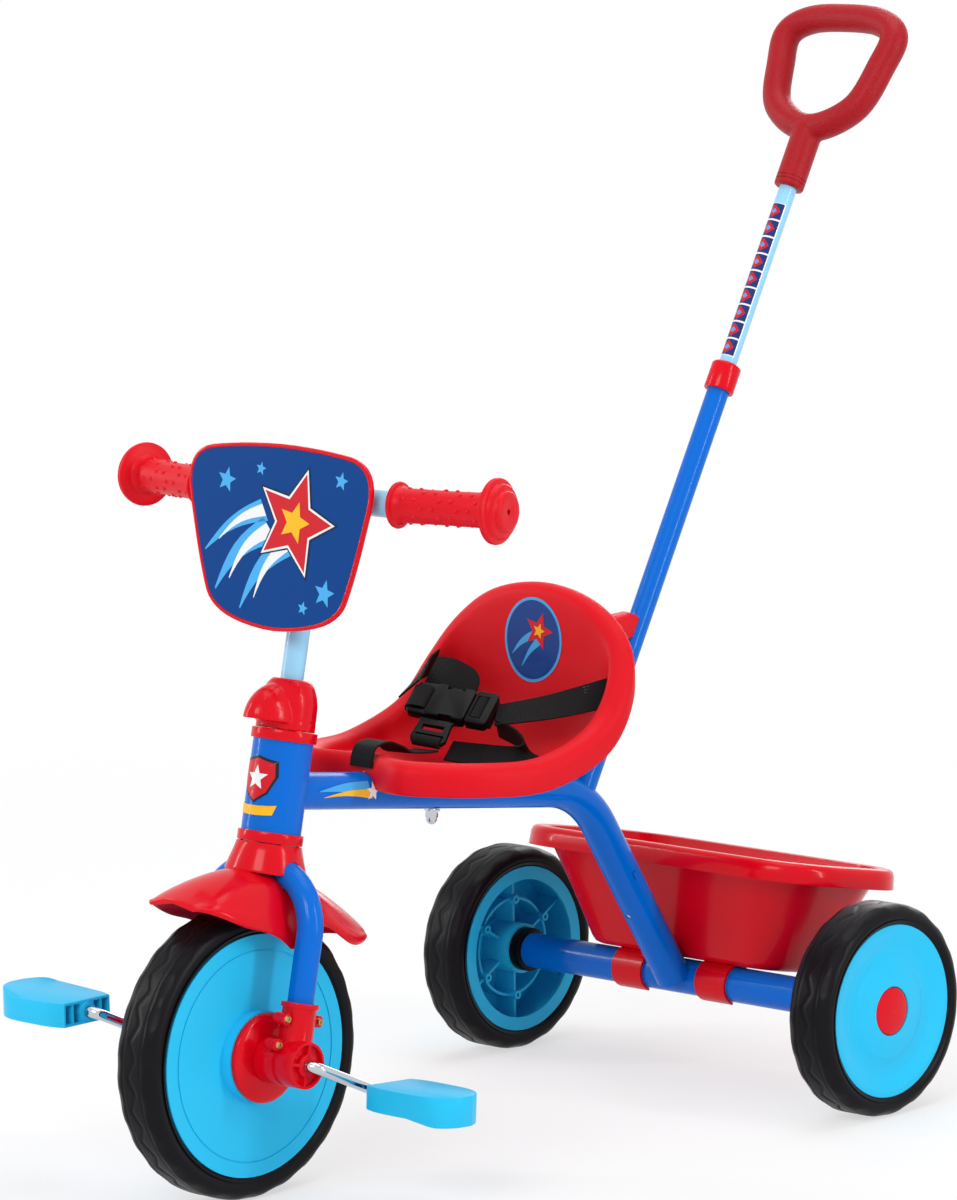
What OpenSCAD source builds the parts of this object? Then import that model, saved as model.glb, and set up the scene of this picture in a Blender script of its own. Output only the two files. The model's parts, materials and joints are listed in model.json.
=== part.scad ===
// Toddler push along trike: steel tube frame, pedal driven front wheel,
// bucket seat with harness, load tub over the rear axle and a telescopic push pole.
// Millimetres. +Z is up, the front is -Y, the rider's left is +X.

/* [Wheels] */
// Diameter of the front tyre
front_wheel_d = 245; // [220:1:270]
// Width of the front tyre
front_tyre_w = 45.5; // [40:0.5:50]
// Height of the front tyre's section outside the wheel disc
front_tyre_h = 19.9; // [17:0.1:24]
// Diameter of the rear tyres
rear_wheel_d = 188; // [170:1:205]
// Width of the rear tyres
rear_tyre_w = 46; // [40:0.5:50]
// Height of the rear tyres' section outside the wheel discs
rear_tyre_h = 17.7; // [16:0.1:22]
// Width over the outer faces of the rear tyres
track_out = 486.5; // [440:0.5:530]
// Distance between the front and rear axles
wheelbase = 565.2; // [530:0.2:600]
// Diameter of the rear axle rod
axle_d = 10; // [8:0.1:12]
// Diameter of the rear wheel caps
cap_d = 42; // [36:0.5:48]
// Wall of the hollow tyres
tyre_wall = 5; // [3:0.5:7]

/* [Drive] */
// Diameter of the hub flange beside the front wheel disc
flange_d = 76; // [66:1:84]
// Thickness of the hub flange
flange_t = 7; // [5:0.5:9]
// How far the hub boss stands off the front wheel disc
hub_boss_h = 7; // [5:0.5:8]
// Diameter of the crank rod
crank_d = 9.5; // [8:0.1:10]
// Distance from the front axle to a pedal spindle
crank_r = 73; // [65:0.5:80]
// Angle of the left crank arm below the horizontal
crank_angle = 25.5; // [0:0.5:60]
// How far each crank arm splays out
crank_splay = 8.5; // [5:0.5:20]
// Length of a pedal along its spindle
pedal_l = 88; // [76:1:96]
// Width of a pedal
pedal_w = 62; // [52:1:70]
// Thickness of a pedal
pedal_t = 21; // [18:0.5:26]
// Height of the lip at a pedal's outer end
pedal_lip = 5; // [3:0.5:8]
// Tilt of the left pedal at rest
pedal_tilt = 4; // [0:0.5:8]

/* [Steering] */
// Lean of the steering axis back from vertical
head_angle = 13; // [10:0.5:16]
// Distance of the front axle ahead of the steering axis
fork_offset = 4.2; // [0:0.1:8]
// Outside diameter of the head tube
head_tube_d = 50.8; // [46:0.2:56]
// Length of the head tube
head_tube_l = 77; // [68:0.5:84]
// Height of the lower end of the head tube along the steering axis
head_low = 186.3; // [182:0.1:195]
// Height of a head ring's flange
ring_h = 9; // [7:0.5:11]
// Outside diameter of a head ring's flange
ring_d = 55.5; // [53:0.5:62]
// Outside diameter of the stem
stem_d = 19.5; // [17:0.1:22]
// Outside diameter of the fork legs
fork_d = 22.2; // [19:0.2:24]
// Distance of each fork leg from the middle
fork_x = 61; // [58:0.5:66]
// Radius of the fork bends
fork_bend_r = 52; // [48:0.5:54]
// Height of the start of the fork bends along the steering axis
fork_bend_s = 104.5; // [102:0.5:106]
// Angle of the fork bends
fork_bend_a = 66; // [63:1:68]
// Outside diameter of a fork end sleeve
sleeve_d = 29; // [27:0.5:33]
// Outside diameter of a fork end's axle boss
boss_d = 39.6; // [36:0.2:44]
// Length of a fork end's axle boss
boss_l = 44; // [38:0.5:46]
// Height of the top of a fork end sleeve along the steering axis
sleeve_top = 50; // [44:0.5:60]

/* [Mudguard and head cover] */
// Reach of the mudguard ahead of the steering axis
guard_reach = 111; // [100:1:120]
// Reach of the mudguard behind the steering axis
guard_tail = 117; // [106:1:124]
// Half width of the mudguard
guard_half_w = 47; // [44:0.5:48.5]
// Height of the mudguard's ridge along the steering axis
guard_top = 157; // [153:0.5:158]
// Height of the mudguard's tips along the steering axis
guard_tip = 115; // [110:0.5:120]
// Height of the mudguard's skirt beside the fork along the steering axis
guard_skirt = 89; // [82:0.5:96]
// Wall of the mudguard
guard_wall = 2.6; // [2:0.1:3.4]
// Height of the head cover
cover_h = 42.5; // [36:0.5:48]
// Reach of the head cover's visor ahead of the steering axis
visor_reach = 46; // [38:0.5:52]

/* [Handlebar] */
// Outside diameter of the handlebar
bar_d = 22.2; // [20:0.2:24]
// Height of the handlebar along the steering axis
bar_s = 468; // [440:1:500]
// Distance from the middle to each handlebar bend
bar_half = 103; // [96:1:115]
// Angle by which the handlebar ends sweep back
bar_sweep = 11.5; // [5:0.5:18]
// Length of a grip
grip_l = 109; // [98:1:116]
// Outside diameter of a grip
grip_d = 29; // [27:0.5:33]
// Diameter of a grip's outer flange
grip_flange_d = 55; // [46:0.5:60]
// Width of the front plate at its widest
plate_w = 214; // [190:1:230]
// Height of the front plate
plate_h = 156; // [140:1:170]
// Height of the front plate's lower edge along the steering axis
plate_low = 353; // [345:1:365]
// Thickness of the front plate
plate_t = 4; // [3:0.2:6]

/* [Frame tubes] */
// Outside diameter of the main tube, rear leg and axle tube
tube_d = 31.8; // [28:0.2:35]
// Wall of the frame tubes
tube_wall = 1.8; // [1.2:0.1:2.5]
// Slope of the main tube down to the rear
main_slope = 7.9; // [4:0.1:12]
// Height at which the main tube meets the steering axis
main_s = 220.7; // [215:0.2:226]
// Lean of the rear leg from vertical
leg_angle = 32.3; // [26:0.1:38]
// Radius of the bend between main tube and rear leg
bend_r = 90; // [75:1:105]
// Distance of the rear leg's foot ahead of the rear axle
leg_lead = 15; // [10:0.5:18]
// Length of the lower leg from the joint to the axle height
lower_leg_l = 104.4; // [90:0.2:115]
// Length of the rear axle bushes outside the axle tube
bush_l = 11; // [8:0.5:14]
// Outside diameter of the rear axle bushes
bush_d = 40; // [36:0.5:44]

/* [Push pole] */
// Lean of the push pole back from vertical
pole_angle = 29.6; // [24:0.2:34]
// Outside diameter of the pole socket on the frame
socket_d = 25; // [23:0.2:28]
// Length of the pole socket from the tube bend
socket_l = 96; // [80:1:110]
// Outside diameter of the lower pole
pole_low_d = 20; // [19:0.2:22]
// Outside diameter of the upper pole
pole_up_d = 16; // [14:0.2:17]
// Distance from the tube bend to the top of the lower pole
pole_low_l = 392; // [360:1:420]
// Outside diameter of the collar
collar_d = 27; // [25:0.5:31]
// Length of the collar
collar_l = 26; // [22:0.5:30]
// Distance from the collar's lower end to the loop handle's lower end
handle_rise = 200; // [180:1:220]
// Height of the loop handle along the pole
handle_h = 183; // [165:1:195]
// Width of the loop handle
handle_w = 154; // [138:1:170]
// Diameter of the loop handle's grip
handle_bar_d = 26; // [23:0.5:29]
// How far the upper pole slides down into the lower pole
pole_travel = 150; // [110:1:150]

/* [Seat] */
// Width of the seat inside its rim
seat_w = 208; // [194:1:222]
// Height of the backrest above the pan, inside the rim
seat_back_h = 150; // [130:1:165]
// Height of the side walls above the pan, inside the rim
seat_side_h = 9; // [6:0.5:14]
// Distance from the seat bolt to the backrest
seat_back_y = 130; // [120:1:138]
// Distance from the seat bolt to the front lip
seat_front_y = 81; // [72:1:90]
// Depth of the notch in the middle of the front lip
seat_notch = 21; // [12:0.5:26]
// Distance of the seat bolt behind the head tube axis along the main tube
seat_bolt_l = 191; // [180:1:200]
// Wall of the seat shell
seat_wall = 4; // [3:0.2:5]
// Radius of the rolled rim
seat_roll_r = 12; // [9:0.5:14]
// Depth of the skirt below the rolled rim
seat_skirt = 17; // [10:0.5:20]
// Diameter of the seat bolt
seat_bolt_d = 6; // [5:0.5:8]

/* [Harness] */
// Width of the webbing
web_w = 25; // [20:0.5:30]
// Thickness of the webbing
web_t = 1.8; // [1.2:0.1:2.4]
// Width of the buckle
buckle_w = 40; // [34:0.5:46]
// Thickness of the buckle
buckle_t = 11; // [9:0.5:13]

/* [Tub] */
// Length of the tub across the trike at its rim
tub_rim_l = 352; // [330:1:376]
// Depth of the tub front to back at its rim
tub_rim_w = 178; // [160:1:200]
// Length of the tub's floor
tub_floor_l = 226; // [200:1:250]
// Depth of the tub's floor front to back
tub_floor_w = 92; // [80:1:110]
// Corner radius of the tub at its floor
tub_floor_r = 34; // [26:0.5:40]
// Corner radius of the tub at its rim
tub_rim_r = 52; // [44:0.5:60]
// Height of the tub from its floor to its rim
tub_h = 101; // [92:0.5:110]
// Height of the lip that hangs from the rim
tub_lip_h = 18; // [14:0.5:24]
// Reach of the rim outside the wall
tub_lip_w = 13; // [9:0.5:18]
// Wall of the tub
tub_wall = 3; // [2.2:0.1:4]
// Tilt of the tub down to the rear
tub_tilt = 11; // [6:0.5:14]
// Distance of the tub's middle to the rider's left of the trike's middle
tub_shift = -6; // [-8:0.5:8]
// Width of each clip over the axle tube
tub_clip_w = 35; // [30:0.5:42]
// Distance of each clip from the tub's middle
tub_clip_x = 50; // [38:0.5:60]

/* [Fits] */
// Radial running clearance of a shaft in its hole
run_gap = 0.06; // [0.02:0.01:0.1]
// Clearance between pieces that are seated together
seat_gap = 0.3; // [0.2:0.05:0.5]

/* [Hidden] */
$fn = 72;

red = [0.84, 0.07, 0.12];
seat_red = [0.88, 0.10, 0.14];
blue = [0.00, 0.40, 0.84];
pale_blue = [0.60, 0.82, 0.94];
sky_blue = [0.05, 0.70, 0.93];
black = [0.09, 0.09, 0.10];
chrome = [0.80, 0.81, 0.83];

front_disc_r = front_wheel_d / 2 - front_tyre_h;
rear_disc_r = rear_wheel_d / 2 - rear_tyre_h;

// Side view places are [y, z] pairs
front_axle = [-wheelbase / 2, front_wheel_d / 2];
rear_axle_at = [wheelbase / 2, rear_wheel_d / 2];
steer_foot = [front_axle[0] + fork_offset * cos(head_angle),
    front_axle[1] - fork_offset * sin(head_angle)];
head_cross = steer_foot + main_s * [sin(head_angle), cos(head_angle)];
main_dir = [cos(main_slope), -sin(main_slope)];
leg_dir = [sin(leg_angle), -cos(leg_angle)];
leg_foot = [rear_axle_at[0] - leg_lead, rear_axle_at[1]];
corner_gap = leg_foot - head_cross;
corner_cross = main_dir[0] * leg_dir[1] - main_dir[1] * leg_dir[0];
main_l = (corner_gap[0] * leg_dir[1] - corner_gap[1] * leg_dir[0]) / corner_cross;
corner = head_cross + main_l * main_dir;
leg_l = (corner[1] - leg_foot[1]) / cos(leg_angle);
bend_a = 90 - leg_angle - main_slope;
bend_tangent = bend_r * tan(bend_a / 2);
pole_dir = [sin(pole_angle), cos(pole_angle)];
collar_low = pole_low_l - 8;
handle_low = collar_low + handle_rise;
handle_top = handle_low + handle_h;
loop_r = handle_bar_d / 2;
loop_low = handle_low + 47;
pole_up_foot = collar_low - 68;

// The model's middle lies halfway between the front tyre and the loop handle
front_reach = front_axle[0] - front_wheel_d / 2;
rear_reach = corner[0] + (handle_top - loop_r) * pole_dir[0] + loop_r;
y_mid = (front_reach + rear_reach) / 2;

ring_top_s = head_low + head_tube_l + ring_h;
ring_low_s = head_low - ring_h;
bore_r = tube_d / 2 - tube_wall;
bar_fwd = stem_d / 2 + bar_d / 2 + 0.8;
boss_in = fork_x - boss_l / 2;
boss_out = fork_x + boss_l / 2;
flange_out = boss_in - 0.7;
hub_face = flange_out - flange_t;
disc_half = hub_face - hub_boss_h;
crank_bend_r = crank_d;
arm_a = atan2(crank_r, crank_splay);
arm_l = norm([crank_r, crank_splay]);
crank_tangent = crank_bend_r * tan(arm_a / 2);
crank_bend_x = boss_out + crank_tangent + 0.5;
spindle_x = crank_bend_x + crank_splay;
pedal_boss_h = 2;
pedal_in = spindle_x + crank_tangent + pedal_boss_h + 0.4;
left_spindle = front_axle + crank_r * [cos(crank_angle), -sin(crank_angle)];
right_spindle = front_axle - crank_r * [cos(crank_angle), -sin(crank_angle)];
wheel_in = track_out / 2 - rear_tyre_w;
wheel_out = track_out / 2;
hub_in = wheel_in + 2;
tube_half = hub_in - seat_gap - bush_l;
hub_out = wheel_out - 14;
nut_t = 3;
seat_top_rise = tube_d / 2 / cos(main_slope);
seat_at = head_cross + seat_bolt_l * main_dir;

// Puts a piece into the model's frame
module placed() translate([0, -y_mid, 0]) children();

// Steering frame: origin at the foot of the steering axis, +Z up along it, -Y forward
module steered() {
  placed() translate([0, steer_foot[0], steer_foot[1]]) rotate([-head_angle, 0, 0]) children();
}

// Frame of a straight tube in the side view: +Z runs along it from a place
module along(at, dir) {
  placed() translate([0, at[0], at[1]]) rotate([-atan2(dir[0], dir[1]), 0, 0]) children();
}

// Frame of a cross shaft: +Z becomes +X at a side view place
module across(at) placed() translate([0, at[0], at[1]]) rotate([0, 90, 0]) children();

// A tube bend in the XY plane: starts at the origin along +X and turns towards +Y
bend_lap = 0.2;
module tube_bend(d, r, a) translate([0, r, 0]) rotate([0, 0, -90]) rotate_extrude(angle = a)
  translate([r, 0]) circle(d = d + 0.06);

// A straight tube length along +X that laps into the bends at its ends
module tube_run(d, l) translate([-bend_lap, 0, 0]) rotate([0, 90, 0])
    cylinder(d = d, h = l + 2 * bend_lap);

// A hollow cylinder
module pipe(outer_d, inner_d, h) {
  difference() {
    cylinder(d = outer_d, h = h);
    translate([0, 0, -1]) cylinder(d = inner_d, h = h + 2);
  }
}

// A closed solid through rings of equal point counts, from its lower cap to its upper cap
module skin(rings, loop = false) {
  n = len(rings[0]);
  m = len(rings);
  last = loop ? m - 1 : m - 2;
  sides = [for (j = [0 : last], i = [0 : n - 1])
    let (a = j * n + i, b = j * n + (i + 1) % n, k = (j + 1) % m, c = k * n + (i + 1) % n, d = k * n + i)
    each [[a, d, c], [a, c, b]]];
  top = (m - 1) * n;
  caps = [for (i = [0 : n / 2 - 2]) let (j = n - 1 - i)
    each [[i, i + 1, j - 1], [i, j - 1, j], [top + i, top + j - 1, top + i + 1], [top + i, top + j,
        top + j - 1]]];
  polyhedron([for (r = rings) each r], loop ? sides : concat(sides, caps), convexity = 8);
}

// Smooth closed curve through control points
function curve_point(p0, p1, p2, p3, t) = 0.5 * (2 * p1 + (p2 - p0) * t
  + (2 * p0 - 5 * p1 + 4 * p2 - p3) * t * t + (3 * p1 - p0 - 3 * p2 + p3) * t * t * t);
function closed_curve(p, steps) = let (n = len(p)) [for (i = [0 : n - 1], k = [0 : steps - 1])
  curve_point(p[(i + n - 1) % n], p[i], p[(i + 1) % n], p[(i + 2) % n], k / steps)];
function open_curve(p, steps) = let (n = len(p)) concat([for (i = [0 : n - 2], k = [0 : steps - 1])
  curve_point(p[max(i - 1, 0)], p[i], p[i + 1], p[min(i + 2, n - 1)], k / steps)], [p[n - 1]]);
function unit(v) = v / norm(v);
function mirrored(p) = concat(p, [for (i = [len(p) - 2 : -1 : 1])
    [-p[i][0], each [for (k = [1 : len(p[i]) - 1]) p[i][k]]]]);

// Head tube and its rings

module head_tube() color(blue) steered() translate([0, 0, head_low])
  pipe(head_tube_d, head_tube_d - 2 * tube_wall, head_tube_l);

// A flanged bush: the flange sits on the tube end and the spigot goes inside it
module head_ring() {
  difference() {
    union() {
      cylinder(d = ring_d, h = ring_h);
      translate([0, 0, -10]) cylinder(d = head_tube_d - 2 * tube_wall - 0.4, h = 10.5);
    }
    translate([0, 0, -11]) cylinder(r = stem_d / 2 + run_gap, h = ring_h + 22);
  }
}
module upper_head_ring() color(red) steered() translate([0, 0, head_low + head_tube_l]) head_ring();
module lower_head_ring() color(red) steered() translate([0, 0, head_low]) mirror([0, 0, 1]) head_ring();

// Bent main tube with the upper part of the rear leg

upper_leg_l = leg_l - lower_leg_l;
snap_at = corner + (upper_leg_l - 23) * leg_dir;
screw_at = corner + (upper_leg_l + 16) * leg_dir;

// The tube's outline around its centre line, as a solid of one diameter
module main_run(d) {
  along(head_cross, main_dir) cylinder(d = d, h = main_l - bend_tangent + bend_lap);
  placed() translate([0, corner[0], corner[1]]) rotate([-main_slope, 0, 0])
      translate([0, -bend_tangent, 0])
    rotate([0, -90, 0]) rotate([0, 0, 90]) tube_bend(d, bend_r, bend_a);
  along(corner + (bend_tangent - bend_lap) * leg_dir, leg_dir)
    cylinder(d = d, h = upper_leg_l - bend_tangent + bend_lap);
}
module main_tube() color(blue) difference() {
  main_run(tube_d);
  main_run(tube_d - 2 * tube_wall);
  steered() cylinder(d = head_tube_d, h = 2 * main_s);
  along(seat_at, [sin(main_slope), cos(main_slope)]) translate([0, 0, -tube_d])
    cylinder(d = seat_bolt_d + 0.4, h = 2 * tube_d);
  along(snap_at, leg_dir) translate([tube_d / 2, 0, 0]) cube([tube_d, 5, 8], center = true);
}

// Lower part of the rear leg, with the spigot that goes up into the main tube
spigot_l = 40;
// Distance that the leg stops short of the axle's height, in front of the axle tube
leg_trim = 4;
module rear_leg() color(blue) difference() {
  along(corner + upper_leg_l * leg_dir, leg_dir) union() {
    cylinder(d = tube_d, h = lower_leg_l - leg_trim);
    translate([0, 0, -spigot_l]) cylinder(r = bore_r - run_gap, h = spigot_l + 1);
  }
  along(corner + (upper_leg_l - spigot_l - 1) * leg_dir, leg_dir)
    cylinder(r = bore_r - tube_wall, h = lower_leg_l + spigot_l + tube_d + 3);
  across(rear_axle_at) cylinder(d = tube_d, h = 4 * tube_d, center = true);
  along(screw_at, leg_dir) rotate([90, 0, 0]) cylinder(d = 4.4, h = 2 * tube_d, center = true);
  along(snap_at, leg_dir) translate([tube_d / 2, 0, 0]) cube([tube_d, 5, 8], center = true);
}
module leg_screw() color(chrome) along(screw_at, leg_dir) rotate([-90, 0, 0])
  difference() {
    cylinder(d = 4, h = tube_d - 1.4, center = true);
    translate([0, 0, tube_d / 2 - 2]) cube([2.6, 0.7, 2], center = true);
    translate([0, 0, tube_d / 2 - 2]) cube([0.7, 2.6, 2], center = true);
  }
module leg_snap_button() color(blue) along(snap_at, leg_dir) {
  translate([tube_d / 2 - 2.6, 0, 0]) cube([6, 4, 7], center = true);
  translate([bore_r - tube_wall - 1.9, 0, 0]) cube([1.6, 8.4, 12], center = true);
}

// Axle tube, bushes, rod and push nuts

module axle_tube() color(blue) across(rear_axle_at) translate([0, 0, -tube_half])
  pipe(tube_d, tube_d - 2 * tube_wall, 2 * tube_half);
module axle_bush(side) color(black) across(rear_axle_at) mirror([0, 0, side < 0 ? 1 : 0]) difference() {
  union() {
    translate([0, 0, tube_half]) cylinder(d = bush_d, h = bush_l);
    translate([0, 0, tube_half - 12]) cylinder(r = bore_r - 0.1, h = 12.5);
  }
  translate([0, 0, tube_half - 13]) cylinder(r = axle_d / 2 + run_gap, h = bush_l + 14);
}
module axle_bush_left() axle_bush(1);
module axle_bush_right() axle_bush(-1);
rod_half = hub_out + seat_gap + nut_t + 2;
module rear_axle() color(chrome) across(rear_axle_at) cylinder(d = axle_d, h = 2 * rod_half,
    center = true);
module axle_push_nuts() color(chrome) for (side = [-1, 1]) across(rear_axle_at)
  mirror([0, 0, side < 0 ? 1 : 0]) translate([0, 0, hub_out + seat_gap])
    pipe(axle_d + 12, axle_d + 0.04, nut_t);

// Push pole: socket, lower tube, collar, sliding upper tube with guide plug, loop handle

module pole_socket() color(blue) difference() {
  along(corner, pole_dir) translate([0, 0, -bend_r / 3]) cylinder(d = socket_d,
      h = socket_l + bend_r / 3);
  along(corner, pole_dir) translate([0, 0, tube_d / 2 + 4])
    cylinder(d = pole_low_d + 2 * run_gap, h = socket_l);
  main_run(tube_d);
  along(corner, pole_dir) translate([0, 0, -bend_r]) cylinder(d = 2 * socket_d, h = bend_r);
}
module pole_lower() color(blue) along(corner, pole_dir) translate([0, 0, tube_d / 2 + 4])
  pipe(pole_low_d, pole_up_d + 2 * run_gap, pole_low_l - tube_d / 2 - 4);
module pole_collar() color(red) along(corner, pole_dir) translate([0, 0, collar_low]) difference() {
  union() {
    cylinder(d = collar_d, h = collar_l - 2);
    translate([0, 0, collar_l - 2]) cylinder(d1 = collar_d, d2 = collar_d - 4, h = 2);
  }
  translate([0, 0, -1]) cylinder(d = pole_low_d + 2 * run_gap, h = 1 + pole_low_l - collar_low);
  cylinder(d = pole_up_d + 2 * run_gap, h = collar_l + 1);
}
module pole_upper() color(pale_blue) along(corner, pole_dir) translate([0, 0, pole_up_foot])
  pipe(pole_up_d, pole_up_d - 2.4, handle_low + 40 - pole_up_foot);
module pole_guide() color(black) along(corner, pole_dir) {
  translate([0, 0, pole_up_foot - 6]) cylinder(r = pole_up_d / 2, h = 6);
  translate([0, 0, pole_up_foot - 1]) cylinder(d = pole_up_d - 2.6, h = 16);
}

// The loop's centre line, as [x, distance along the pole]
loop_half = handle_w / 2 - loop_r;
loop_path = mirrored([
  [0, handle_top - loop_r],
  [0.62 * loop_half, handle_top - loop_r - 3],
  [0.97 * loop_half, handle_top - loop_r - 17],
  [0.93 * loop_half, handle_top - loop_r - 45],
  [0.70 * loop_half, loop_low + 34],
  [0, loop_low + loop_r]]);
loop_points = closed_curve(loop_path, 5);
loop_n = len(loop_points);
loop_rings = [for (i = [0 : loop_n - 1])
  let (p = loop_points[i], q = loop_points[(i + 1) % loop_n], o = loop_points[(i + loop_n - 1) % loop_n],
    t = unit(q - o), side = [t[1], -t[0]])
  [for (k = [0 : 15]) let (a = 360 * k / 16)
    [p[0] + side[0] * loop_r * cos(a), loop_r * sin(a), p[1] + side[1] * loop_r * cos(a)]]];
module loop_handle() color(red) along(corner, pole_dir) difference() {
  union() {
    skin(loop_rings, true);
    translate([0, 0, handle_low]) cylinder(d = collar_d + 0.5, h = 47 + loop_r);
  }
  translate([0, 0, handle_low - 1]) cylinder(d = pole_up_d + 0.04, h = 41);
}

// Seat: a bucket whose wall rises from the pan to a rolled rim

// Height of the pan's upper face at a place along the trike
function pan_z(y) = seat_at[1] - (y - seat_at[0]) * tan(main_slope)
    + seat_top_rise + seat_gap + seat_wall;
seat_mid_y = seat_at[0] + 26;
seat_half = seat_w / 2;

// Inner edge of the rim: [x, y from the seat bolt, height above the pan]
seat_edge = mirrored([
  [0, seat_back_y, seat_back_h],
  [0.50 * seat_half, seat_back_y - 1, 0.93 * seat_back_h],
  [0.85 * seat_half, seat_back_y - 6, 0.74 * seat_back_h],
  [0.99 * seat_half, seat_back_y - 24, 0.50 * seat_back_h],
  [seat_half, seat_back_y - 56, 0.24 * seat_back_h],
  [0.97 * seat_half, 16, seat_side_h],
  [0.86 * seat_half, -0.44 * seat_front_y, 0.35 * seat_side_h],
  [0.60 * seat_half, -0.91 * seat_front_y, 0.15 * seat_side_h],
  [0.38 * seat_half, -seat_front_y, 0.15 * seat_side_h],
  [0, -seat_front_y + seat_notch, 0.15 * seat_side_h]]);
seat_ring = closed_curve(seat_edge, 3);

// Profile of the bucket as [share of the way out, share of the way up], squared off like a bowl
seat_bowl = 3;
bowl_steps = 8;
bowl_profile = [for (k = [1 : bowl_steps]) let (a = 90 * k / bowl_steps)
  [pow(sin(a), 2 / seat_bowl), 1 - pow(cos(a), 2 / seat_bowl)]];
roll_steps = 5;

// One radial section of the seat, underside first, as [outward shift, share out, share up, height shift]
function seat_section(inset) = concat(
  [for (b = bowl_profile) [inset * b[1], b[0], b[1], -inset * (1 - b[1])]],
  [for (k = [1 : roll_steps]) let (a = 180 - 180 * k / roll_steps)
    [seat_roll_r + (seat_roll_r - inset) * cos(a), 1, 1, (seat_roll_r - inset) * sin(a)]],
  [[2 * seat_roll_r - inset, 1, 1, -seat_skirt]]);
seat_under = seat_section(seat_wall);
seat_upper = seat_section(0);
seat_sections = concat([for (k = [0 : len(seat_under) - 1]) seat_under[k]],
  [for (k = [len(seat_upper) - 1 : -1 : 0]) seat_upper[k]]);
function seat_point(e, s) = let (
  ex = e[0], ey = seat_at[0] + e[1], out = unit([ex, ey - seat_mid_y]),
  x = s[1] * ex + s[0] * out[0], y = seat_mid_y + s[1] * (ey - seat_mid_y) + s[0] * out[1])
  [x, y, pan_z(seat_mid_y + s[1] * (ey - seat_mid_y)) + s[2] * e[2] + s[3]];
seat_rings = [for (s = seat_sections) [for (e = seat_ring) seat_point(e, s)]];
strap_slot_x = 104;
module seat_shell() color(seat_red) difference() {
  placed() skin([for (r = seat_rings) [for (i = [len(r) - 1 : -1 : 0]) r[i]]]);
  main_run(tube_d + 2 * seat_gap);
  along(seat_at, [sin(main_slope), cos(main_slope)]) cylinder(d = seat_bolt_d + 0.4, h = 3 * tube_d);
}

// Clip arm from the back of the seat to the push pole
clip_l = socket_l + 56;
clip_pad_d = 34;
clip_pad_t = 3;
clip_grip_h = 18;
clip_grip_d = pole_low_d - 3;
clip_at = corner + clip_l * pole_dir;
clip_back_y = seat_at[0] + seat_back_y + seat_wall + 1.5;
module seat_clip() color(seat_red) difference() {
  hull() {
    placed() translate([0, clip_back_y, clip_at[1] - 2]) rotate([-90, 0, 0])
        cylinder(d = clip_pad_d, h = clip_pad_t, $fn = 32);
    along(clip_at, pole_dir) translate([0, -pole_low_d / 2 - clip_pad_t, 0])
        cylinder(d = clip_grip_d, h = clip_grip_h, center = true, $fn = 32);
  }
  along(clip_at, pole_dir) cylinder(r = pole_low_d / 2 + run_gap, h = 4 * pole_low_d, center = true);
  along(clip_at, pole_dir) translate([0, 2 * pole_low_d - pole_low_d / 4, 0])
      cube([5 * pole_low_d, 4 * pole_low_d, 4 * pole_low_d], center = true);
}

// Seat bolt, washer and domed nut through the main tube
bolt_dir = [sin(main_slope), cos(main_slope)];
bolt_top = tube_d / 2 + seat_gap + seat_wall + 0.4;
module seat_bolt() color(chrome) along(seat_at, bolt_dir) {
  translate([0, 0, -tube_d / 2 - 9]) cylinder(d = seat_bolt_d, h = tube_d / 2 + 9 + bolt_top + 1);
  translate([0, 0, bolt_top]) intersection() {
    translate([0, 0, -7]) sphere(r = 10.5);
    cylinder(d = 16, h = 4);
  }
}
module seat_washer() color(chrome) along(seat_at, bolt_dir) translate([0, 0, -tube_d / 2 - 1.8])
  pipe(14, seat_bolt_d + 0.3, 1.6);
module seat_nut() color(chrome) along(seat_at, bolt_dir) translate([0, 0, -tube_d / 2 - 1.9])
    mirror([0, 0, 1])
  difference() {
    union() {
      cylinder(d = 11.5, h = 5.5, $fn = 6);
      translate([0, 0, 5]) cylinder(d = 9.6, h = 2);
      translate([0, 0, 7]) sphere(d = 9.6);
    }
    translate([0, 0, -1]) cylinder(d = seat_bolt_d + 0.02, h = 9);
  }

// Harness: webbing as flat ribbons, with the buckle lying on the pan

// A ribbon along a path; each path point is [x, y from the seat bolt, height above the pan, roll]
function harness_point(p) = [p[0], seat_at[0] + p[1], pan_z(seat_at[0] + p[1]) + p[2]];
function ribbon_rings(path, w, t) = let (c = open_curve(path, 4), n = len(c)) [for (i = [0 : n - 1])
  let (o = harness_point(c[max(i - 1, 0)]), q = harness_point(c[min(i + 1, n - 1)]),
      m = harness_point(c[i]),
    tangent = unit(q - o), flat = unit(cross([0, 0, 1], tangent)), lift = cross(tangent, flat),
    wide = flat * cos(c[i][3]) + lift * sin(c[i][3]), thick = cross(tangent, wide))
  [m - wide * w / 2 - thick * t / 2, m + wide * w / 2 - thick * t / 2,
   m + wide * w / 2 + thick * t / 2, m - wide * w / 2 + thick * t / 2]];
module ribbon(path) placed() skin(ribbon_rings(path, web_w, web_t));

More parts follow.
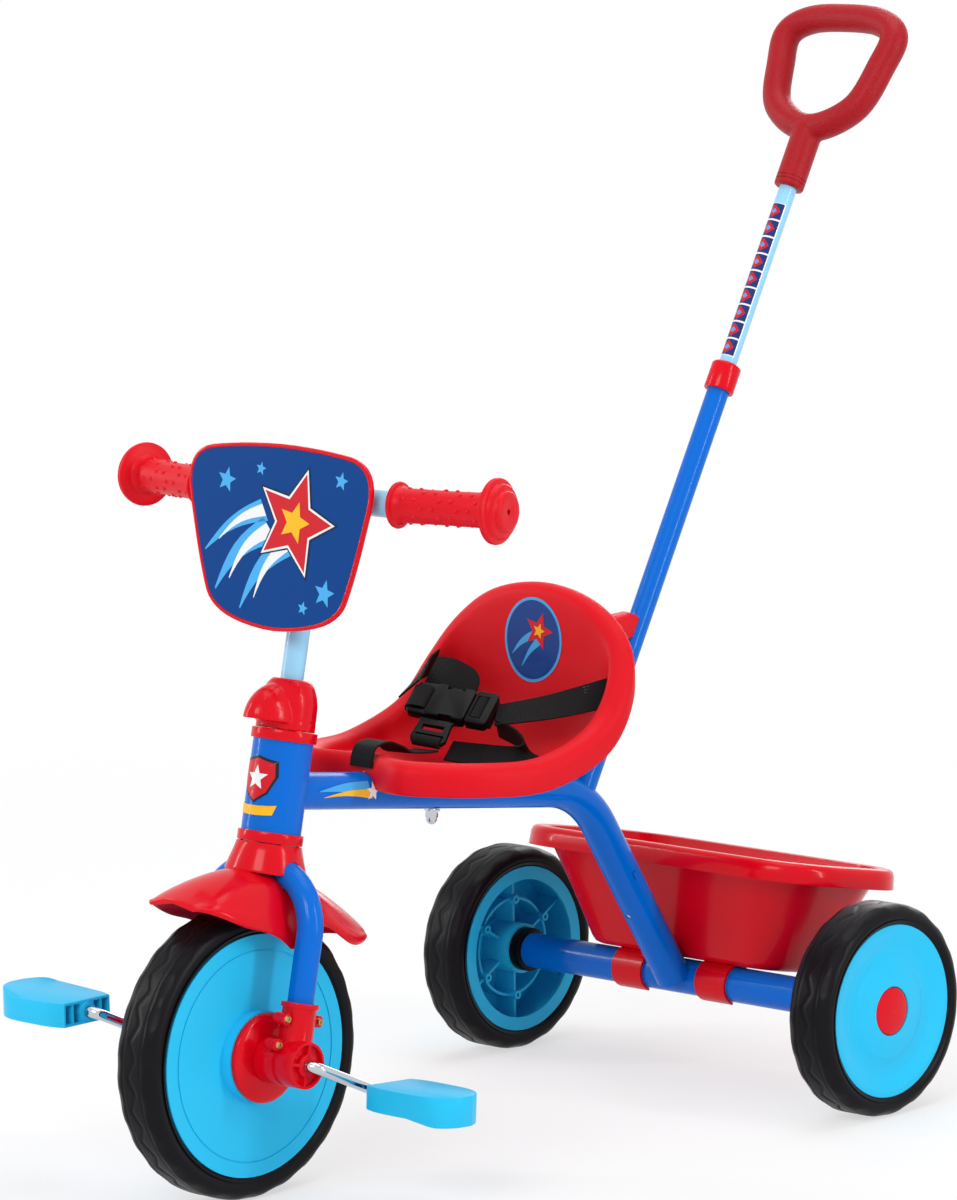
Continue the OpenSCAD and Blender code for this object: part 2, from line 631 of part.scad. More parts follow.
buckle_at = [-12, 46, 51];
left_path = [[0.90 * seat_half, 108, 74, -66], [0.82 * seat_half, 95, 67, -58], [58, 77, 57, -46],
  [19.8, 59.2, 47, -36]];
right_path = [[-0.93 * seat_half, 106, 82, 66], [-0.88 * seat_half, 86, 77, 60], [-74, 58, 70, 48],
  [-60, 34, 62, 40]];
lip_y = seat_notch - seat_front_y;
crotch_path = [[-13, 6, 12, 0], [-9, -12, 10, 0], [-4, -36, 8, 0], [0, lip_y + 6, 9.9, 0],
  [0, lip_y - seat_roll_r, 14.3, 0], [0, lip_y - 2 * seat_roll_r - 1.4, 8.4, 0],
  [0, lip_y - 2 * seat_roll_r - 3.9, 1, 0]];
module strap_left() color(black) ribbon(left_path);
module strap_right() color(black) ribbon(right_path);
module strap_crotch() color(black) ribbon(crotch_path);

// Frame of the buckle: +X across the trike towards the left strap
module buckled() placed() translate(harness_point(buckle_at)) rotate([35, 7.5, 22]) children();
module buckle_socket() color(black) buckled() translate([-22, 0, 0]) difference() {
  hull() for (x = [-16, 18], y = [-1, 1]) translate([x, y * (buckle_w / 2 - 5), 0])
    cylinder(d = 10, h = buckle_t, center = true, $fn = 32);
  translate([12, 0, 0]) cube([40, buckle_w - 9, buckle_t - 4], center = true);
  translate([-14, 0, 0]) cube([5, web_w + 1, 2 * buckle_t], center = true);
}
module buckle_plug() color(black) buckled() difference() {
  union() {
    translate([-13.5, 0, 0]) cube([31, buckle_w - 10, buckle_t - 4.6], center = true);
    translate([16.3, 0, 0]) cube([30, buckle_w - 2, buckle_t - 1], center = true);
  }
  translate([21, 0, 0]) cube([9, web_w + 1, 2 * buckle_t], center = true);
}
// Frame at the front of the buckle that the crotch strap loops through
slider_t = 4;
slider_l = 28;
slider_x = -12;
slider_y = -buckle_w / 2 - seat_gap - slider_l / 2;
slider_slot = 4;
module strap_slider() color(black) buckled() translate([slider_x, slider_y, 0]) difference() {
  cube([web_w + 9, slider_l, slider_t], center = true);
  translate([0, slider_l / 2 - 11, 0]) cube([web_w - 5, 7, 2 * slider_t], center = true);
  translate([0, slider_slot + 3.5 - slider_l / 2, 0])
    cube([web_w + 1.5, slider_slot, 2 * slider_t], center = true);
}

// Load tub, drawn level and then tilted about the rear axle

tub_floor_z = tube_d / 2 + 1;
tub_front_y = -14;
corner_steps = 6;
// A rounded rectangle ring in the tub's frame
function tub_ring(l, w, y_front, r, z) = [for (q = [[1, 1], [-1, 1], [-1, -1], [1, -1]],
    k = [0 : corner_steps])
  let (start = q[0] > 0 ? (q[1] > 0 ? 0 : 270) : (q[1] > 0 ? 90 : 180),
      a = start + 90 * k / corner_steps)
  [q[0] * (l / 2 - r) + r * cos(a), y_front + w / 2 + q[1] * (w / 2 - r) + r * sin(a), z]];
tub_front_rise = 40;
// Wall ring at a share of the height, moved out by a wall thickness
function tub_wall_ring(share, out, z) = tub_ring(
  tub_floor_l + (tub_rim_l - 2 * tub_lip_w - tub_floor_l) * share + 2 * out,
  tub_floor_w + (tub_rim_w - 2 * tub_lip_w - tub_floor_w) * share + 2 * out,
  tub_front_y - tub_front_rise * share - out, tub_floor_r + (tub_rim_r - tub_floor_r) * share + out, z);
function tub_rim_ring(out, z) = tub_wall_ring(1, out, z);
tub_top = tub_floor_z + tub_h;
tub_rings = [
  tub_wall_ring(0, -10, tub_floor_z),
  tub_wall_ring(0, -2, tub_floor_z + 1),
  tub_wall_ring(0.06, 0, tub_floor_z + 6),
  tub_wall_ring(1, 0, tub_top - tub_wall),
  tub_rim_ring(tub_lip_w - tub_wall - 2, tub_top - tub_wall - 1),
  tub_rim_ring(tub_lip_w - tub_wall, tub_top - tub_wall - 4),
  tub_rim_ring(tub_lip_w - tub_wall + 1, tub_top - tub_lip_h),
  tub_rim_ring(tub_lip_w + 1, tub_top - tub_lip_h),
  tub_rim_ring(tub_lip_w, tub_top - 4),
  tub_rim_ring(tub_lip_w - 3, tub_top),
  tub_rim_ring(-1, tub_top),
  tub_wall_ring(1, -tub_wall, tub_top - 4),
  tub_wall_ring(0.06, -tub_wall, tub_floor_z + tub_wall + 5),
  tub_wall_ring(0, -tub_wall - 4, tub_floor_z + tub_wall)];
// The leg's channel lies this far inside the wall's face, and laps the wall as far
channel_inset = 0.4;
tub_block = [
  tub_wall_ring(0, -2 - channel_inset, tub_floor_z + channel_inset),
  tub_wall_ring(0.06, -channel_inset, tub_floor_z + 6),
  tub_wall_ring(1, -channel_inset, tub_top - tub_wall),
  tub_wall_ring(1, -channel_inset, tub_top - 2)];
leg_gap = 1;
module tubbed() placed() translate([tub_shift, rear_axle_at[0], rear_axle_at[1]])
    rotate([-tub_tilt, 0, 0]) children();
module leg_run(r) along(corner - tub_rim_w * leg_dir, leg_dir)
    cylinder(r = r, h = tub_rim_w + leg_l + tube_d);
module tub_clip() rotate([0, 90, 0]) difference() {
  cylinder(r = tube_d / 2 + seat_gap + 2.6, h = tub_clip_w, center = true);
  cylinder(r = tube_d / 2 + seat_gap, h = tub_clip_w + 2, center = true);
  translate([tube_d, tube_d / 2 + 3, 0]) cube([2 * tube_d, 2 * tube_d, tub_clip_w + 2], center = true);
}
module tub() color(red) difference() {
  union() {
    difference() {
      tubbed() skin(tub_rings);
      leg_run(tube_d / 2 + leg_gap + tub_wall);
    }
    intersection() {
      tubbed() skin(tub_block);
      leg_run(tube_d / 2 + leg_gap + tub_wall + channel_inset);
    }
    tubbed() for (x = [-tub_clip_x, tub_clip_x]) translate([x, 0, 0]) tub_clip();
  }
  leg_run(tube_d / 2 + leg_gap);
}

// Stem, handlebar, grips and front plate

module stem() color(pale_blue) steered() translate([0, 0, guard_top + 3])
  pipe(stem_d, stem_d - 4, bar_s + bar_d / 2 + 3 - guard_top - 3);
bar_bend_r = 60;
bar_tangent = bar_bend_r * tan(bar_sweep / 2);
module barred() steered() translate([0, -bar_fwd, bar_s]) rotate([head_angle, 0, 0]) children();
module handlebar() color(pale_blue) barred() {
  translate([-bar_half + bar_tangent, 0, 0]) tube_run(bar_d, 2 * (bar_half - bar_tangent));
  for (side = [0, 1]) mirror([side, 0, 0]) {
    translate([bar_half - bar_tangent, 0, 0]) tube_bend(bar_d, bar_bend_r, bar_sweep);
    translate([bar_half, 0, 0]) rotate([0, 0, bar_sweep]) translate([bar_tangent, 0, 0])
      tube_run(bar_d, grip_l - bar_tangent);
  }
}
grip_start = 9;
module grip(side) color(red) barred() mirror([side < 0 ? 1 : 0, 0, 0])
  translate([bar_half, 0, 0]) rotate([0, 0, bar_sweep]) rotate([0, 90, 0]) difference() {
    union() {
      translate([0, 0, grip_start]) cylinder(d = grip_d, h = grip_l);
      translate([0, 0, grip_start]) cylinder(d = grip_d + 10, h = 5);
      translate([0, 0, grip_start + grip_l - 15]) cylinder(d = grip_flange_d, h = 6);
      translate([0, 0, grip_start + grip_l - 9]) cylinder(d = grip_flange_d - 9, h = 4);
      translate([0, 0, grip_start + grip_l - 5]) cylinder(d1 = grip_d + 5, d2 = grip_d + 3, h = 5);
    }
    cylinder(d = bar_d + 0.04, h = grip_l + 1);
    cylinder(d = 5, h = grip_l + 30);
  }
module grip_left() grip(1);
module grip_right() grip(-1);

// Outline of the front plate: [x, height above its lower edge]
plate_half = plate_w / 2;
plate_outline = closed_curve(mirrored([
  [0, plate_h],
  [0.55 * plate_half, plate_h - 3],
  [0.88 * plate_half, plate_h - 10],
  [plate_half, plate_h - 32],
  [0.93 * plate_half, plate_h - 70],
  [0.80 * plate_half, 40],
  [0.69 * plate_half, 19],
  [0.44 * plate_half, 6],
  [0, 0]]), 4);
plate_tilt = 7.3;
plate_fwd = 27;
plate_edge = 3.2;
module plated() steered() translate([0, -plate_fwd, plate_low]) rotate([90 + plate_tilt, 0, 0])
    children();
module plate_rim() color(red) plated() difference() {
  linear_extrude(plate_t) polygon(plate_outline);
  translate([0, 0, plate_t - 1.6]) linear_extrude(plate_t) offset(delta = -plate_edge)
      polygon(plate_outline);
}
module plate_face() color([0, 0.29, 0.59]) plated() translate([0, 0, plate_t - 1.5])
  linear_extrude(1.2) offset(delta = -plate_edge - 0.15) polygon(plate_outline);
// Two saddles behind the plate that sit on the handlebar
bar_above_plate = bar_s - plate_low;
plate_clip_len = plate_fwd + bar_above_plate * tan(plate_tilt) - bar_fwd;
module plate_clips() color(red) difference() {
  for (x = [-38, 38]) intersection() {
    plated() translate([x, bar_above_plate, -40]) cube([22, 36, 2 * 40 - 0.1], center = true);
    steered() translate([x, -bar_fwd - plate_clip_len / 2 + 3, bar_s])
        cube([22, plate_clip_len + 14, 60], center = true);
  }
  steered() translate([0, -bar_fwd, bar_s]) rotate([0, 90, 0])
    cylinder(r = bar_d / 2 + 0.1, h = 4 * bar_half, center = true);
}

// Head cover: a domed sleeve over the stem with a visor lobe to the front

cover_foot = ring_top_s + seat_gap;
cover_low_d = 50;
cover_top_d = 31;
module head_cover() color(red) steered() translate([0, 0, cover_foot]) difference() {
  union() {
    cylinder(d = cover_low_d, h = 9);
    translate([0, 0, 8.99]) cylinder(d1 = cover_low_d, d2 = cover_low_d - 5, h = 0.48 * cover_h);
    translate([0, 0, 8.98 + 0.48 * cover_h]) cylinder(d1 = cover_low_d - 5, d2 = cover_top_d,
        h = 0.52 * cover_h - 8.98);
    hull() {
      translate([0, -visor_reach + 17, 6]) scale([1.15, 1, 1]) cylinder(d = 34, h = 10, $fn = 32);
      translate([0, -visor_reach + 26, 22]) cylinder(d = 30, h = 5, $fn = 32);
      translate([0, -12, 10]) cylinder(d = 38, h = 0.62 * cover_h - 4, $fn = 32);
    }
  }
  translate([0, 0, -1]) cylinder(d = stem_d + 0.2, h = cover_h + 2);
  translate([0, 0, -1]) cylinder(d = cover_low_d - 6, h = 9);
  difference() {
    translate([0, 0, 7]) cylinder(d = cover_low_d + 60, h = 1.2);
    translate([0, 0, 6]) cylinder(d = cover_low_d - 1.4, h = 4);
    translate([0, -60, 7]) cube([120, 80, 4], center = true);
  }
}

// Fork: two bent legs joined under the head tube

crown_d = 44;
// One leg's bend and its end at the crown
module fork_shoulder(d, l) {
  translate([fork_x, 0, fork_bend_s]) rotate([90, 0, 0]) rotate([0, 0, 90])
    tube_bend(d, fork_bend_r, fork_bend_a);
  translate([fork_x - fork_bend_r * (1 - cos(fork_bend_a)), 0,
      fork_bend_s + fork_bend_r * sin(fork_bend_a)])
    rotate([0, -fork_bend_a, 0]) translate([0, 0, -bend_lap]) cylinder(d = d, h = l);
}
module fork() color(blue) steered() difference() {
  union() {
    for (side = [0, 1]) mirror([side, 0, 0]) {
      translate([fork_x, 0, 9]) cylinder(d = fork_d, h = fork_bend_s - 9 + bend_lap);
      fork_shoulder(fork_d, 16);
    }
    translate([0, 0, guard_top + seat_gap]) cylinder(d = crown_d,
        h = ring_low_s - 0.6 - guard_top - seat_gap);
  }
  translate([0, 0, guard_top - 20]) cylinder(d = stem_d + 0.04, h = 60);
  translate([-100, -100, ring_low_s - 0.6]) cube([200, 200, 40]);
}

// Mudguard: a saddle over the front wheel with a collar round the fork crown

function guard_share(y) = y < 0 ? -y / guard_reach : y / guard_tail;
function guard_ridge(y) = guard_top - (guard_top - guard_tip) * pow(guard_share(y), 2.2);
function guard_edge(y) = min(guard_skirt + 18 * (1 - exp(-abs(y) / 18)), guard_ridge(y) - 3.2);
function guard_w(y) = let (late = max(guard_share(y) - 0.5, 0) / 0.53)
    guard_half_w * sqrt(1 - late * late);
guard_steps = 22;
guard_arc = 14;
guard_stations = [for (k = [0 : guard_steps]) let (c = cos(180 * k / guard_steps))
    c * (c < 0 ? guard_reach : guard_tail)];
guard_rings = [for (y = guard_stations) let (w = guard_w(y), low = guard_edge(y), rise = guard_ridge(y)
    - low)
  concat([for (k = [0 : guard_arc]) let (a = 180 * k / guard_arc) [w * cos(a), y, low + rise * sin(a)]],
    [for (k = [guard_arc : -1 : 0]) let (a = 180 * k / guard_arc)
      [(w - guard_wall) * cos(a), y, low + (rise - guard_wall) * sin(a)]])];
collar_top_s = ring_low_s - seat_gap;
collar_h = 25;
module mudguard() color(red) steered() difference() {
  union() {
    skin(guard_rings);
    translate([0, 0, collar_top_s - collar_h]) difference() {
      cylinder(d1 = ring_d + 13, d2 = ring_d, h = collar_h);
      translate([0, 0, -0.01]) cylinder(d1 = ring_d + 8, d2 = ring_d - 5, h = collar_h + 0.02);
    }
  }
  for (side = [0, 1]) mirror([side, 0, 0]) fork_shoulder(fork_d + 1, 18);
}

// Fork ends: two shells screwed round each leg's foot, with the axle boss

ear_d = 10;
ears = [[-19, sleeve_top - 14], [19, sleeve_top - 14], [-25, 14]];
module fork_end_body() difference() {
  union() {
    translate([fork_x, 0, 4]) cylinder(d = sleeve_d, h = sleeve_top - 4);
    translate([fork_x, 0, sleeve_top - 4]) cylinder(d = sleeve_d + 3, h = 4);
    translate([boss_in, -fork_offset, 0]) rotate([0, 90, 0]) cylinder(d = boss_d, h = boss_l);
    for (e = ears) translate([fork_x - 6, e[0], e[1]]) rotate([0, 90, 0]) cylinder(d = ear_d, h = 12);
    for (e = ears) translate([fork_x, e[0] / 2, e[1]]) cube([8, abs(e[0]), 5], center = true);
  }
  translate([fork_x, 0, 8.7]) cylinder(d = fork_d + 0.04, h = sleeve_top);
  translate([0, -fork_offset, 0]) rotate([0, 90, 0]) cylinder(r = crank_d / 2 + run_gap,
      h = 2 * boss_out);
  for (e = ears) translate([fork_x - 8, e[0], e[1]]) rotate([0, 90, 0]) cylinder(d = 3.4, h = 20);
  for (q = [[1, 1], [-1, 1], [-1, -1], [1, -1]]) translate([boss_out - 4, -fork_offset, 0])
      intersection() {
    rotate([0, 90, 0]) pipe(boss_d - 5, 19, 5);
    translate([0, q[0] * 11.3, q[1] * 11.3]) cube([20, 20, 20], center = true);
  }
}
// One shell, cut at the middle of the leg
module fork_end(side, outer) color(red) steered() mirror([side < 0 ? 1 : 0, 0, 0]) intersection() {
  fork_end_body();
  translate([outer ? fork_x + 0.05 : fork_x - 100.05, -100, -100]) cube([100, 200, 300]);
}
module fork_end_left_outer() fork_end(1, true);
module fork_end_left_inner() fork_end(1, false);
module fork_end_right_outer() fork_end(-1, true);
module fork_end_right_inner() fork_end(-1, false);
module fork_end_screws() color([0.55, 0.47, 0.25]) steered() for (side = [0, 1]) mirror([side, 0, 0])
  for (e = ears) translate([fork_x - 5, e[0], e[1]]) rotate([0, 90, 0]) difference() {
    union() {
      cylinder(d = 3.2, h = 11.5);
      translate([0, 0, 11.1]) cylinder(d1 = 6.4, d2 = 5, h = 2);
    }
    translate([0, 0, 13]) cube([3.6, 0.9, 2], center = true);
    translate([0, 0, 13]) cube([0.9, 3.6, 2], center = true);
  }

// Tyres: hollow rings with round shoulders, open to the inside

shoulder = 11;
function shoulder_arc(cx, cy, a0) = [for (k = [0 : 6]) let (a = a0 + 90 * k / 6)
    [cx + shoulder * cos(a), cy + shoulder * sin(a)]];
module tyre(outer_r, inner_r, w) rotate([0, 90, 0]) rotate_extrude() difference() {
  polygon(concat([[inner_r, -w / 2 + 3]], [[inner_r + 4, -w / 2]], shoulder_arc(outer_r - shoulder,
      -w / 2 + shoulder, 270),
    shoulder_arc(outer_r - shoulder, w / 2 - shoulder, 0), [[inner_r + 4, w / 2]], [[inner_r,
        w / 2 - 3]]));
  translate([inner_r - 1, -w / 2 + tyre_wall]) square([outer_r - inner_r - tyre_wall + 1,
      w - 2 * tyre_wall]);
}
module front_tyre() color(black) placed() translate([0, front_axle[0], front_axle[1]])
  tyre(front_wheel_d / 2, front_disc_r + 0.1, front_tyre_w);

// Front wheel: two dished faces on a rim, open inside round the crank

module front_wheel() color(sky_blue) placed() translate([0, front_axle[0], front_axle[1]])
    rotate([0, 90, 0])
  rotate_extrude() {
    half_w = min(disc_half, front_tyre_w / 2 - 0.8);
    boss_r = flange_d / 2 + 1;
    groove_r = front_disc_r - 13;
    difference() {
      union() {
        translate([crank_d / 2 + run_gap, -half_w]) square([front_disc_r - crank_d / 2 - run_gap,
            2 * half_w]);
        translate([crank_d / 2 + run_gap, -hub_face]) square([boss_r - crank_d / 2 - run_gap,
            2 * hub_face]);
      }
      translate([0, -half_w + 3.5]) square([front_disc_r - 5, 2 * half_w - 7]);
      for (side = [-1, 1]) translate([groove_r - 0.8, side > 0 ? half_w - 0.9 : -half_w - 0.1])
          square([1.6, 1]);
    }
  }
// Hub flange: a shallow cone that clamps the wheel to the crank
module hub_flange(side) color(red) placed() translate([0, front_axle[0], front_axle[1]])
  rotate([0, side > 0 ? 90 : -90, 0]) translate([0, 0, hub_face + 0.02]) difference() {
    union() {
      cylinder(d = flange_d, h = flange_t - 2.5);
      translate([0, 0, flange_t - 2.5]) cylinder(d1 = flange_d, d2 = flange_d - 8, h = 2.48);
    }
    translate([0, 0, -1]) cylinder(r = crank_d / 2 + run_gap, h = flange_t + 2);
  }
module hub_flange_left() hub_flange(1);
module hub_flange_right() hub_flange(-1);

// Crank: one steel rod with an arm and a spindle at each end

spindle_l = pedal_l - 14;
spindle_end = pedal_in + spindle_l;
// One half of the rod in its own plane: +X outward, +Y along the arm
module half_crank() {
  tube_run(crank_d, crank_bend_x - crank_tangent);
  translate([crank_bend_x - crank_tangent, 0, 0]) tube_bend(crank_d, crank_bend_r, arm_a);
  translate([crank_bend_x, 0, 0]) rotate([0, 0, arm_a]) translate([crank_tangent, 0, 0])
    tube_run(crank_d, arm_l - 2 * crank_tangent);
  translate([spindle_x + crank_tangent, crank_r, 0]) mirror([1, 0, 0]) mirror([0, 1, 0])
    tube_bend(crank_d, crank_bend_r, arm_a);
  translate([spindle_x + crank_tangent, crank_r, 0]) tube_run(crank_d,
      spindle_end - spindle_x - crank_tangent - bend_lap);
}
module crank() color(chrome) placed() translate([0, front_axle[0], front_axle[1]]) {
  rotate([-crank_angle, 0, 0]) half_crank();
  rotate([180 - crank_angle, 0, 0]) mirror([1, 0, 0]) half_crank();
}
module pedal_push_nuts() color(chrome) for (side = [-1, 1]) placed() {
  s = side > 0 ? left_spindle : right_spindle;
  translate([side * (spindle_end - 2.5), s[0], s[1]]) rotate([0, 90, 0])
    translate([0, 0, -1]) pipe(crank_d + 7, crank_d + 0.04, 2);
}

// Pedals: closed treads with a spindle tunnel and open windows on the inner side

pedal_side = [[0, 0.42 * pedal_w], [18, pedal_w / 2], [pedal_l - 32, pedal_w / 2],
  [pedal_l - 16, 0.44 * pedal_w], [pedal_l - 6, 0.32 * pedal_w], [pedal_l, 0.13 * pedal_w]];
pedal_plan = concat(pedal_side, [for (k = [len(pedal_side) - 1 : -1 : 0])
  [pedal_side[k][0], -pedal_side[k][1]]]);
module pedal_body() difference() {
  union() {
    translate([0, 0, -pedal_t / 2]) linear_extrude(pedal_t) polygon(pedal_plan);
    intersection() {
      translate([0, 0, -pedal_t]) linear_extrude(2 * pedal_t) polygon(pedal_plan);
      translate([pedal_l - 26, -pedal_w, -pedal_t / 2]) rotate([0, 14, 0])
          cube([60, 2 * pedal_w, pedal_t / 2]);
      translate([0, -pedal_w, -pedal_t / 2 - pedal_lip]) cube([2 * pedal_l, 2 * pedal_w, pedal_t]);
    }
    translate([-pedal_boss_h, 0, 0]) rotate([0, 90, 0]) cylinder(d = crank_d + 7, h = 20);
  }
  translate([-10, 0, 0]) rotate([0, 90, 0]) cylinder(r = crank_d / 2 + run_gap,
      h = spindle_end - pedal_in + 11);
  translate([spindle_end - pedal_in - 6, 0, 0]) rotate([0, 90, 0]) cylinder(d = crank_d + 8, h = 8);
  for (y = [-1, 1]) {
    translate([-1, y * 0.21 * pedal_w + y * 4, 0]) cube([44, 0.17 * pedal_w, pedal_t - 5],
        center = true);
    translate([8, y * 0.42 * pedal_w, 0]) cube([44, 0.08 * pedal_w, pedal_t - 5], center = true);
  }
}
module pedal_left() color(sky_blue) placed() translate([pedal_in, left_spindle[0], left_spindle[1]])
  rotate([-pedal_tilt, 0, 0]) pedal_body();
module pedal_right() color(sky_blue) placed() translate([-pedal_in, right_spindle[0], right_spindle[1]])
  rotate([180, 0, 180]) mirror([0, 0, 0]) pedal_body();

// Rear wheels: a dished outer face, with ribs and bosses on the open inner side

rib_t = 2.4;
rib_ring_r = 45;
hub_r = 23;
rim_in_r = rear_disc_r - 12;
web_t_wheel = 3;
module rear_tyre(side) color(black) placed() translate([side * (wheel_in + rear_tyre_w / 2),
    rear_axle_at[0], rear_axle_at[1]])
  tyre(rear_wheel_d / 2, rear_disc_r + 0.1, rear_tyre_w);
module rear_left_tyre() rear_tyre(1);
module rear_right_tyre() rear_tyre(-1);
web_z = wheel_out - 9;
// The outer face falls from the rim to a round valley and rises to a dome round the cap
cap_gap = 0.8;
dome_h = 6.6;
dome_foot_r = cap_d / 2 + 3;
dome_top_r = cap_d / 2 + 9;
dome_edge_r = rear_disc_r - 35;
valley_r = rear_disc_r - 25;
dome_line = [[dome_foot_r, web_z + dome_h], [dome_top_r, web_z + dome_h - 0.7],
  [dome_edge_r, web_z + dome_h - 2.6], [valley_r - 5, web_z + 2.4], [valley_r, web_z + 1.6],
  [valley_r + 6, web_z + 2]];
rib_top = web_z + 0.4;
module rear_wheel(side) color(sky_blue) across(rear_axle_at) mirror([0, 0, side < 0 ? 1 : 0])
    difference() {
  union() {
    rotate_extrude() {
      translate([rim_in_r, wheel_in + 1.5]) square([rear_disc_r - rim_in_r, 3]);
      translate([rear_disc_r - 4, wheel_in + 1.5]) square([4, rear_tyre_w - 4]);
      polygon(concat(
        [[hub_r - 4, web_z - web_t_wheel], [dome_foot_r, web_z - web_t_wheel]],
        [for (q = dome_line) q - [0, web_t_wheel]],
        [[rear_disc_r - 4, wheel_out - 5.5], [rear_disc_r, wheel_out - 2.5],
          [rear_disc_r - 5, wheel_out - 2.5]],
        [for (k = [len(dome_line) - 1 : -1 : 0]) dome_line[k]],
        [[cap_d / 2 + cap_gap, web_z + dome_h], [cap_d / 2 + cap_gap, web_z], [hub_r - 4, web_z]]));
      translate([hub_r - 3, hub_in]) square([3, web_z - hub_in - 1]);
      translate([axle_d / 2 + run_gap, hub_in]) square([4, hub_out - hub_in]);
      translate([axle_d / 2 + run_gap, hub_in + 6]) square([hub_r - axle_d / 2 - 1, 3]);
      translate([axle_d / 2 + run_gap, hub_out - 3]) square([hub_r - axle_d / 2 - 1, 3]);
      translate([rib_ring_r - rib_t / 2, wheel_in + 16]) square([rib_t, rib_top - wheel_in - 16]);
    }
    for (k = [0 : 5]) rotate([0, 0, 60 * k]) {
      translate([hub_r - 1, -rib_t / 2, wheel_in + 14]) cube([rear_disc_r - hub_r - 2, rib_t,
          rib_top - wheel_in - 14]);
      translate([rib_ring_r, 0, wheel_in + 10]) cylinder(d = 8, h = rib_top - wheel_in - 10);
    }
  }
  for (k = [0 : 5]) rotate([0, 0, 60 * k]) translate([rib_ring_r, 0, wheel_in])
      cylinder(d = 3.6, h = 22);
}
module rear_left_wheel() rear_wheel(1);
module rear_right_wheel() rear_wheel(-1);
// Cap that snaps over the axle end, with a domed face
cap_foot = web_z + 0.02;
cap_h = 8.4;
cap_dome = 2.2;
module rear_cap(side) color(red) across(rear_axle_at) mirror([0, 0, side < 0 ? 1 : 0])
  translate([0, 0, cap_foot]) rotate_extrude() polygon(concat(
    [[cap_d / 2 - 3, 0], [cap_d / 2, 0]],
    [for (k = [0 : 8]) let (u = 1 - k / 8) [u * cap_d / 2, cap_h - cap_dome * u * u]],
    [[0, cap_h - 3], [cap_d / 2 - 3, cap_h - 5]]));
module rear_left_cap() rear_cap(1);
module rear_right_cap() rear_cap(-1);

head_tube();
upper_head_ring();
lower_head_ring();
main_tube();
rear_leg();
leg_screw();
leg_snap_button();
axle_tube();
axle_bush_left();
axle_bush_right();
rear_axle();
axle_push_nuts();
pole_socket();
pole_lower();
pole_collar();
pole_upper();
pole_guide();
loop_handle();
seat_shell();
seat_clip();
seat_bolt();
seat_washer();
seat_nut();
strap_left();
strap_right();
strap_crotch();
buckle_socket();
buckle_plug();
strap_slider();
tub();
stem();
handlebar();
grip_left();
grip_right();
plate_rim();
plate_face();
plate_clips();
head_cover();
fork();
mudguard();
fork_end_left_outer();
fork_end_left_inner();
fork_end_right_outer();
fork_end_right_inner();
fork_end_screws();
front_tyre();
front_wheel();
hub_flange_left();
hub_flange_right();
crank();
pedal_push_nuts();
pedal_left();
pedal_right();
rear_left_tyre();
rear_left_wheel();
rear_left_cap();
rear_right_tyre();
rear_right_wheel();
rear_right_cap();
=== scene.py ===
# %% [markdown]
# # A toddler's push along trike
# The imported model is the frame of this lesson: every steel tube, wheel and
# moulding already has its true place. We load it first.

# %% Load the frame
import json
from math import atan2, cos, exp, hypot, pi, radians, sin, sqrt, tan

import bmesh
import bpy
from mathutils import Matrix, Vector

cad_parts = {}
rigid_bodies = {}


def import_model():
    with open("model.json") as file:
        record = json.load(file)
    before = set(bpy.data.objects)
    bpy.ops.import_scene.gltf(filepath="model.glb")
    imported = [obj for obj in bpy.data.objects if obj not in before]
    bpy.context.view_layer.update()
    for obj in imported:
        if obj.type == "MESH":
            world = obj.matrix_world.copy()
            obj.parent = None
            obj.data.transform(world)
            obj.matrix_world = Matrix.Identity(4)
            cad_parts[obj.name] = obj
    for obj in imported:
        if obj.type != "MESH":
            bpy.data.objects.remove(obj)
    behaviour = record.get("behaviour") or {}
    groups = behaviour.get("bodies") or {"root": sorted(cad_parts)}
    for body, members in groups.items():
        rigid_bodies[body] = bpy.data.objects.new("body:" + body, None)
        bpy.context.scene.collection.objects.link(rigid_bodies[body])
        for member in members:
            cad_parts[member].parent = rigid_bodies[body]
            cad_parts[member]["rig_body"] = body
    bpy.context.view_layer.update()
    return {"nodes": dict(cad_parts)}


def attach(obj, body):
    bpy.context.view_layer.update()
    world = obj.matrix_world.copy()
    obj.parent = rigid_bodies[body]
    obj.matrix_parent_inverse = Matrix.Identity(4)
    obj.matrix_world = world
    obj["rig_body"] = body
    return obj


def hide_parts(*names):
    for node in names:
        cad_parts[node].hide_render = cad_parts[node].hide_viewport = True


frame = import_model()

MM = 0.001
nodes = frame["nodes"]

# %% [markdown]
# ## Camera
# The picture is taken with a long lens from the front left, a little above
# the handlebar. We turn azimuth, elevation and roll into three axes by hand,
# because a camera looks along its own -Z and that is easy to check on paper.
# The lens shift moves the frame without changing the perspective.

# %% Camera
AZIMUTH, ELEVATION, ROLL = radians(43.63), radians(9.70), radians(-1.11)
CAMERA_AT = Vector((3.6683, -3.9112, 1.2588))


def turned_axes():
    back = Vector((sin(AZIMUTH) * cos(ELEVATION), -cos(AZIMUTH) * cos(ELEVATION), sin(ELEVATION)))
    right = (-back).cross(Vector((0, 0, 1))).normalized()
    up = right.cross(-back)
    return cos(ROLL) * right + sin(ROLL) * up, -sin(ROLL) * right + cos(ROLL) * up, back


def deselect_all():
    if bpy.context.object and bpy.context.object.mode != "OBJECT":
        bpy.ops.object.mode_set(mode="OBJECT")
    bpy.ops.object.select_all(action="DESELECT")


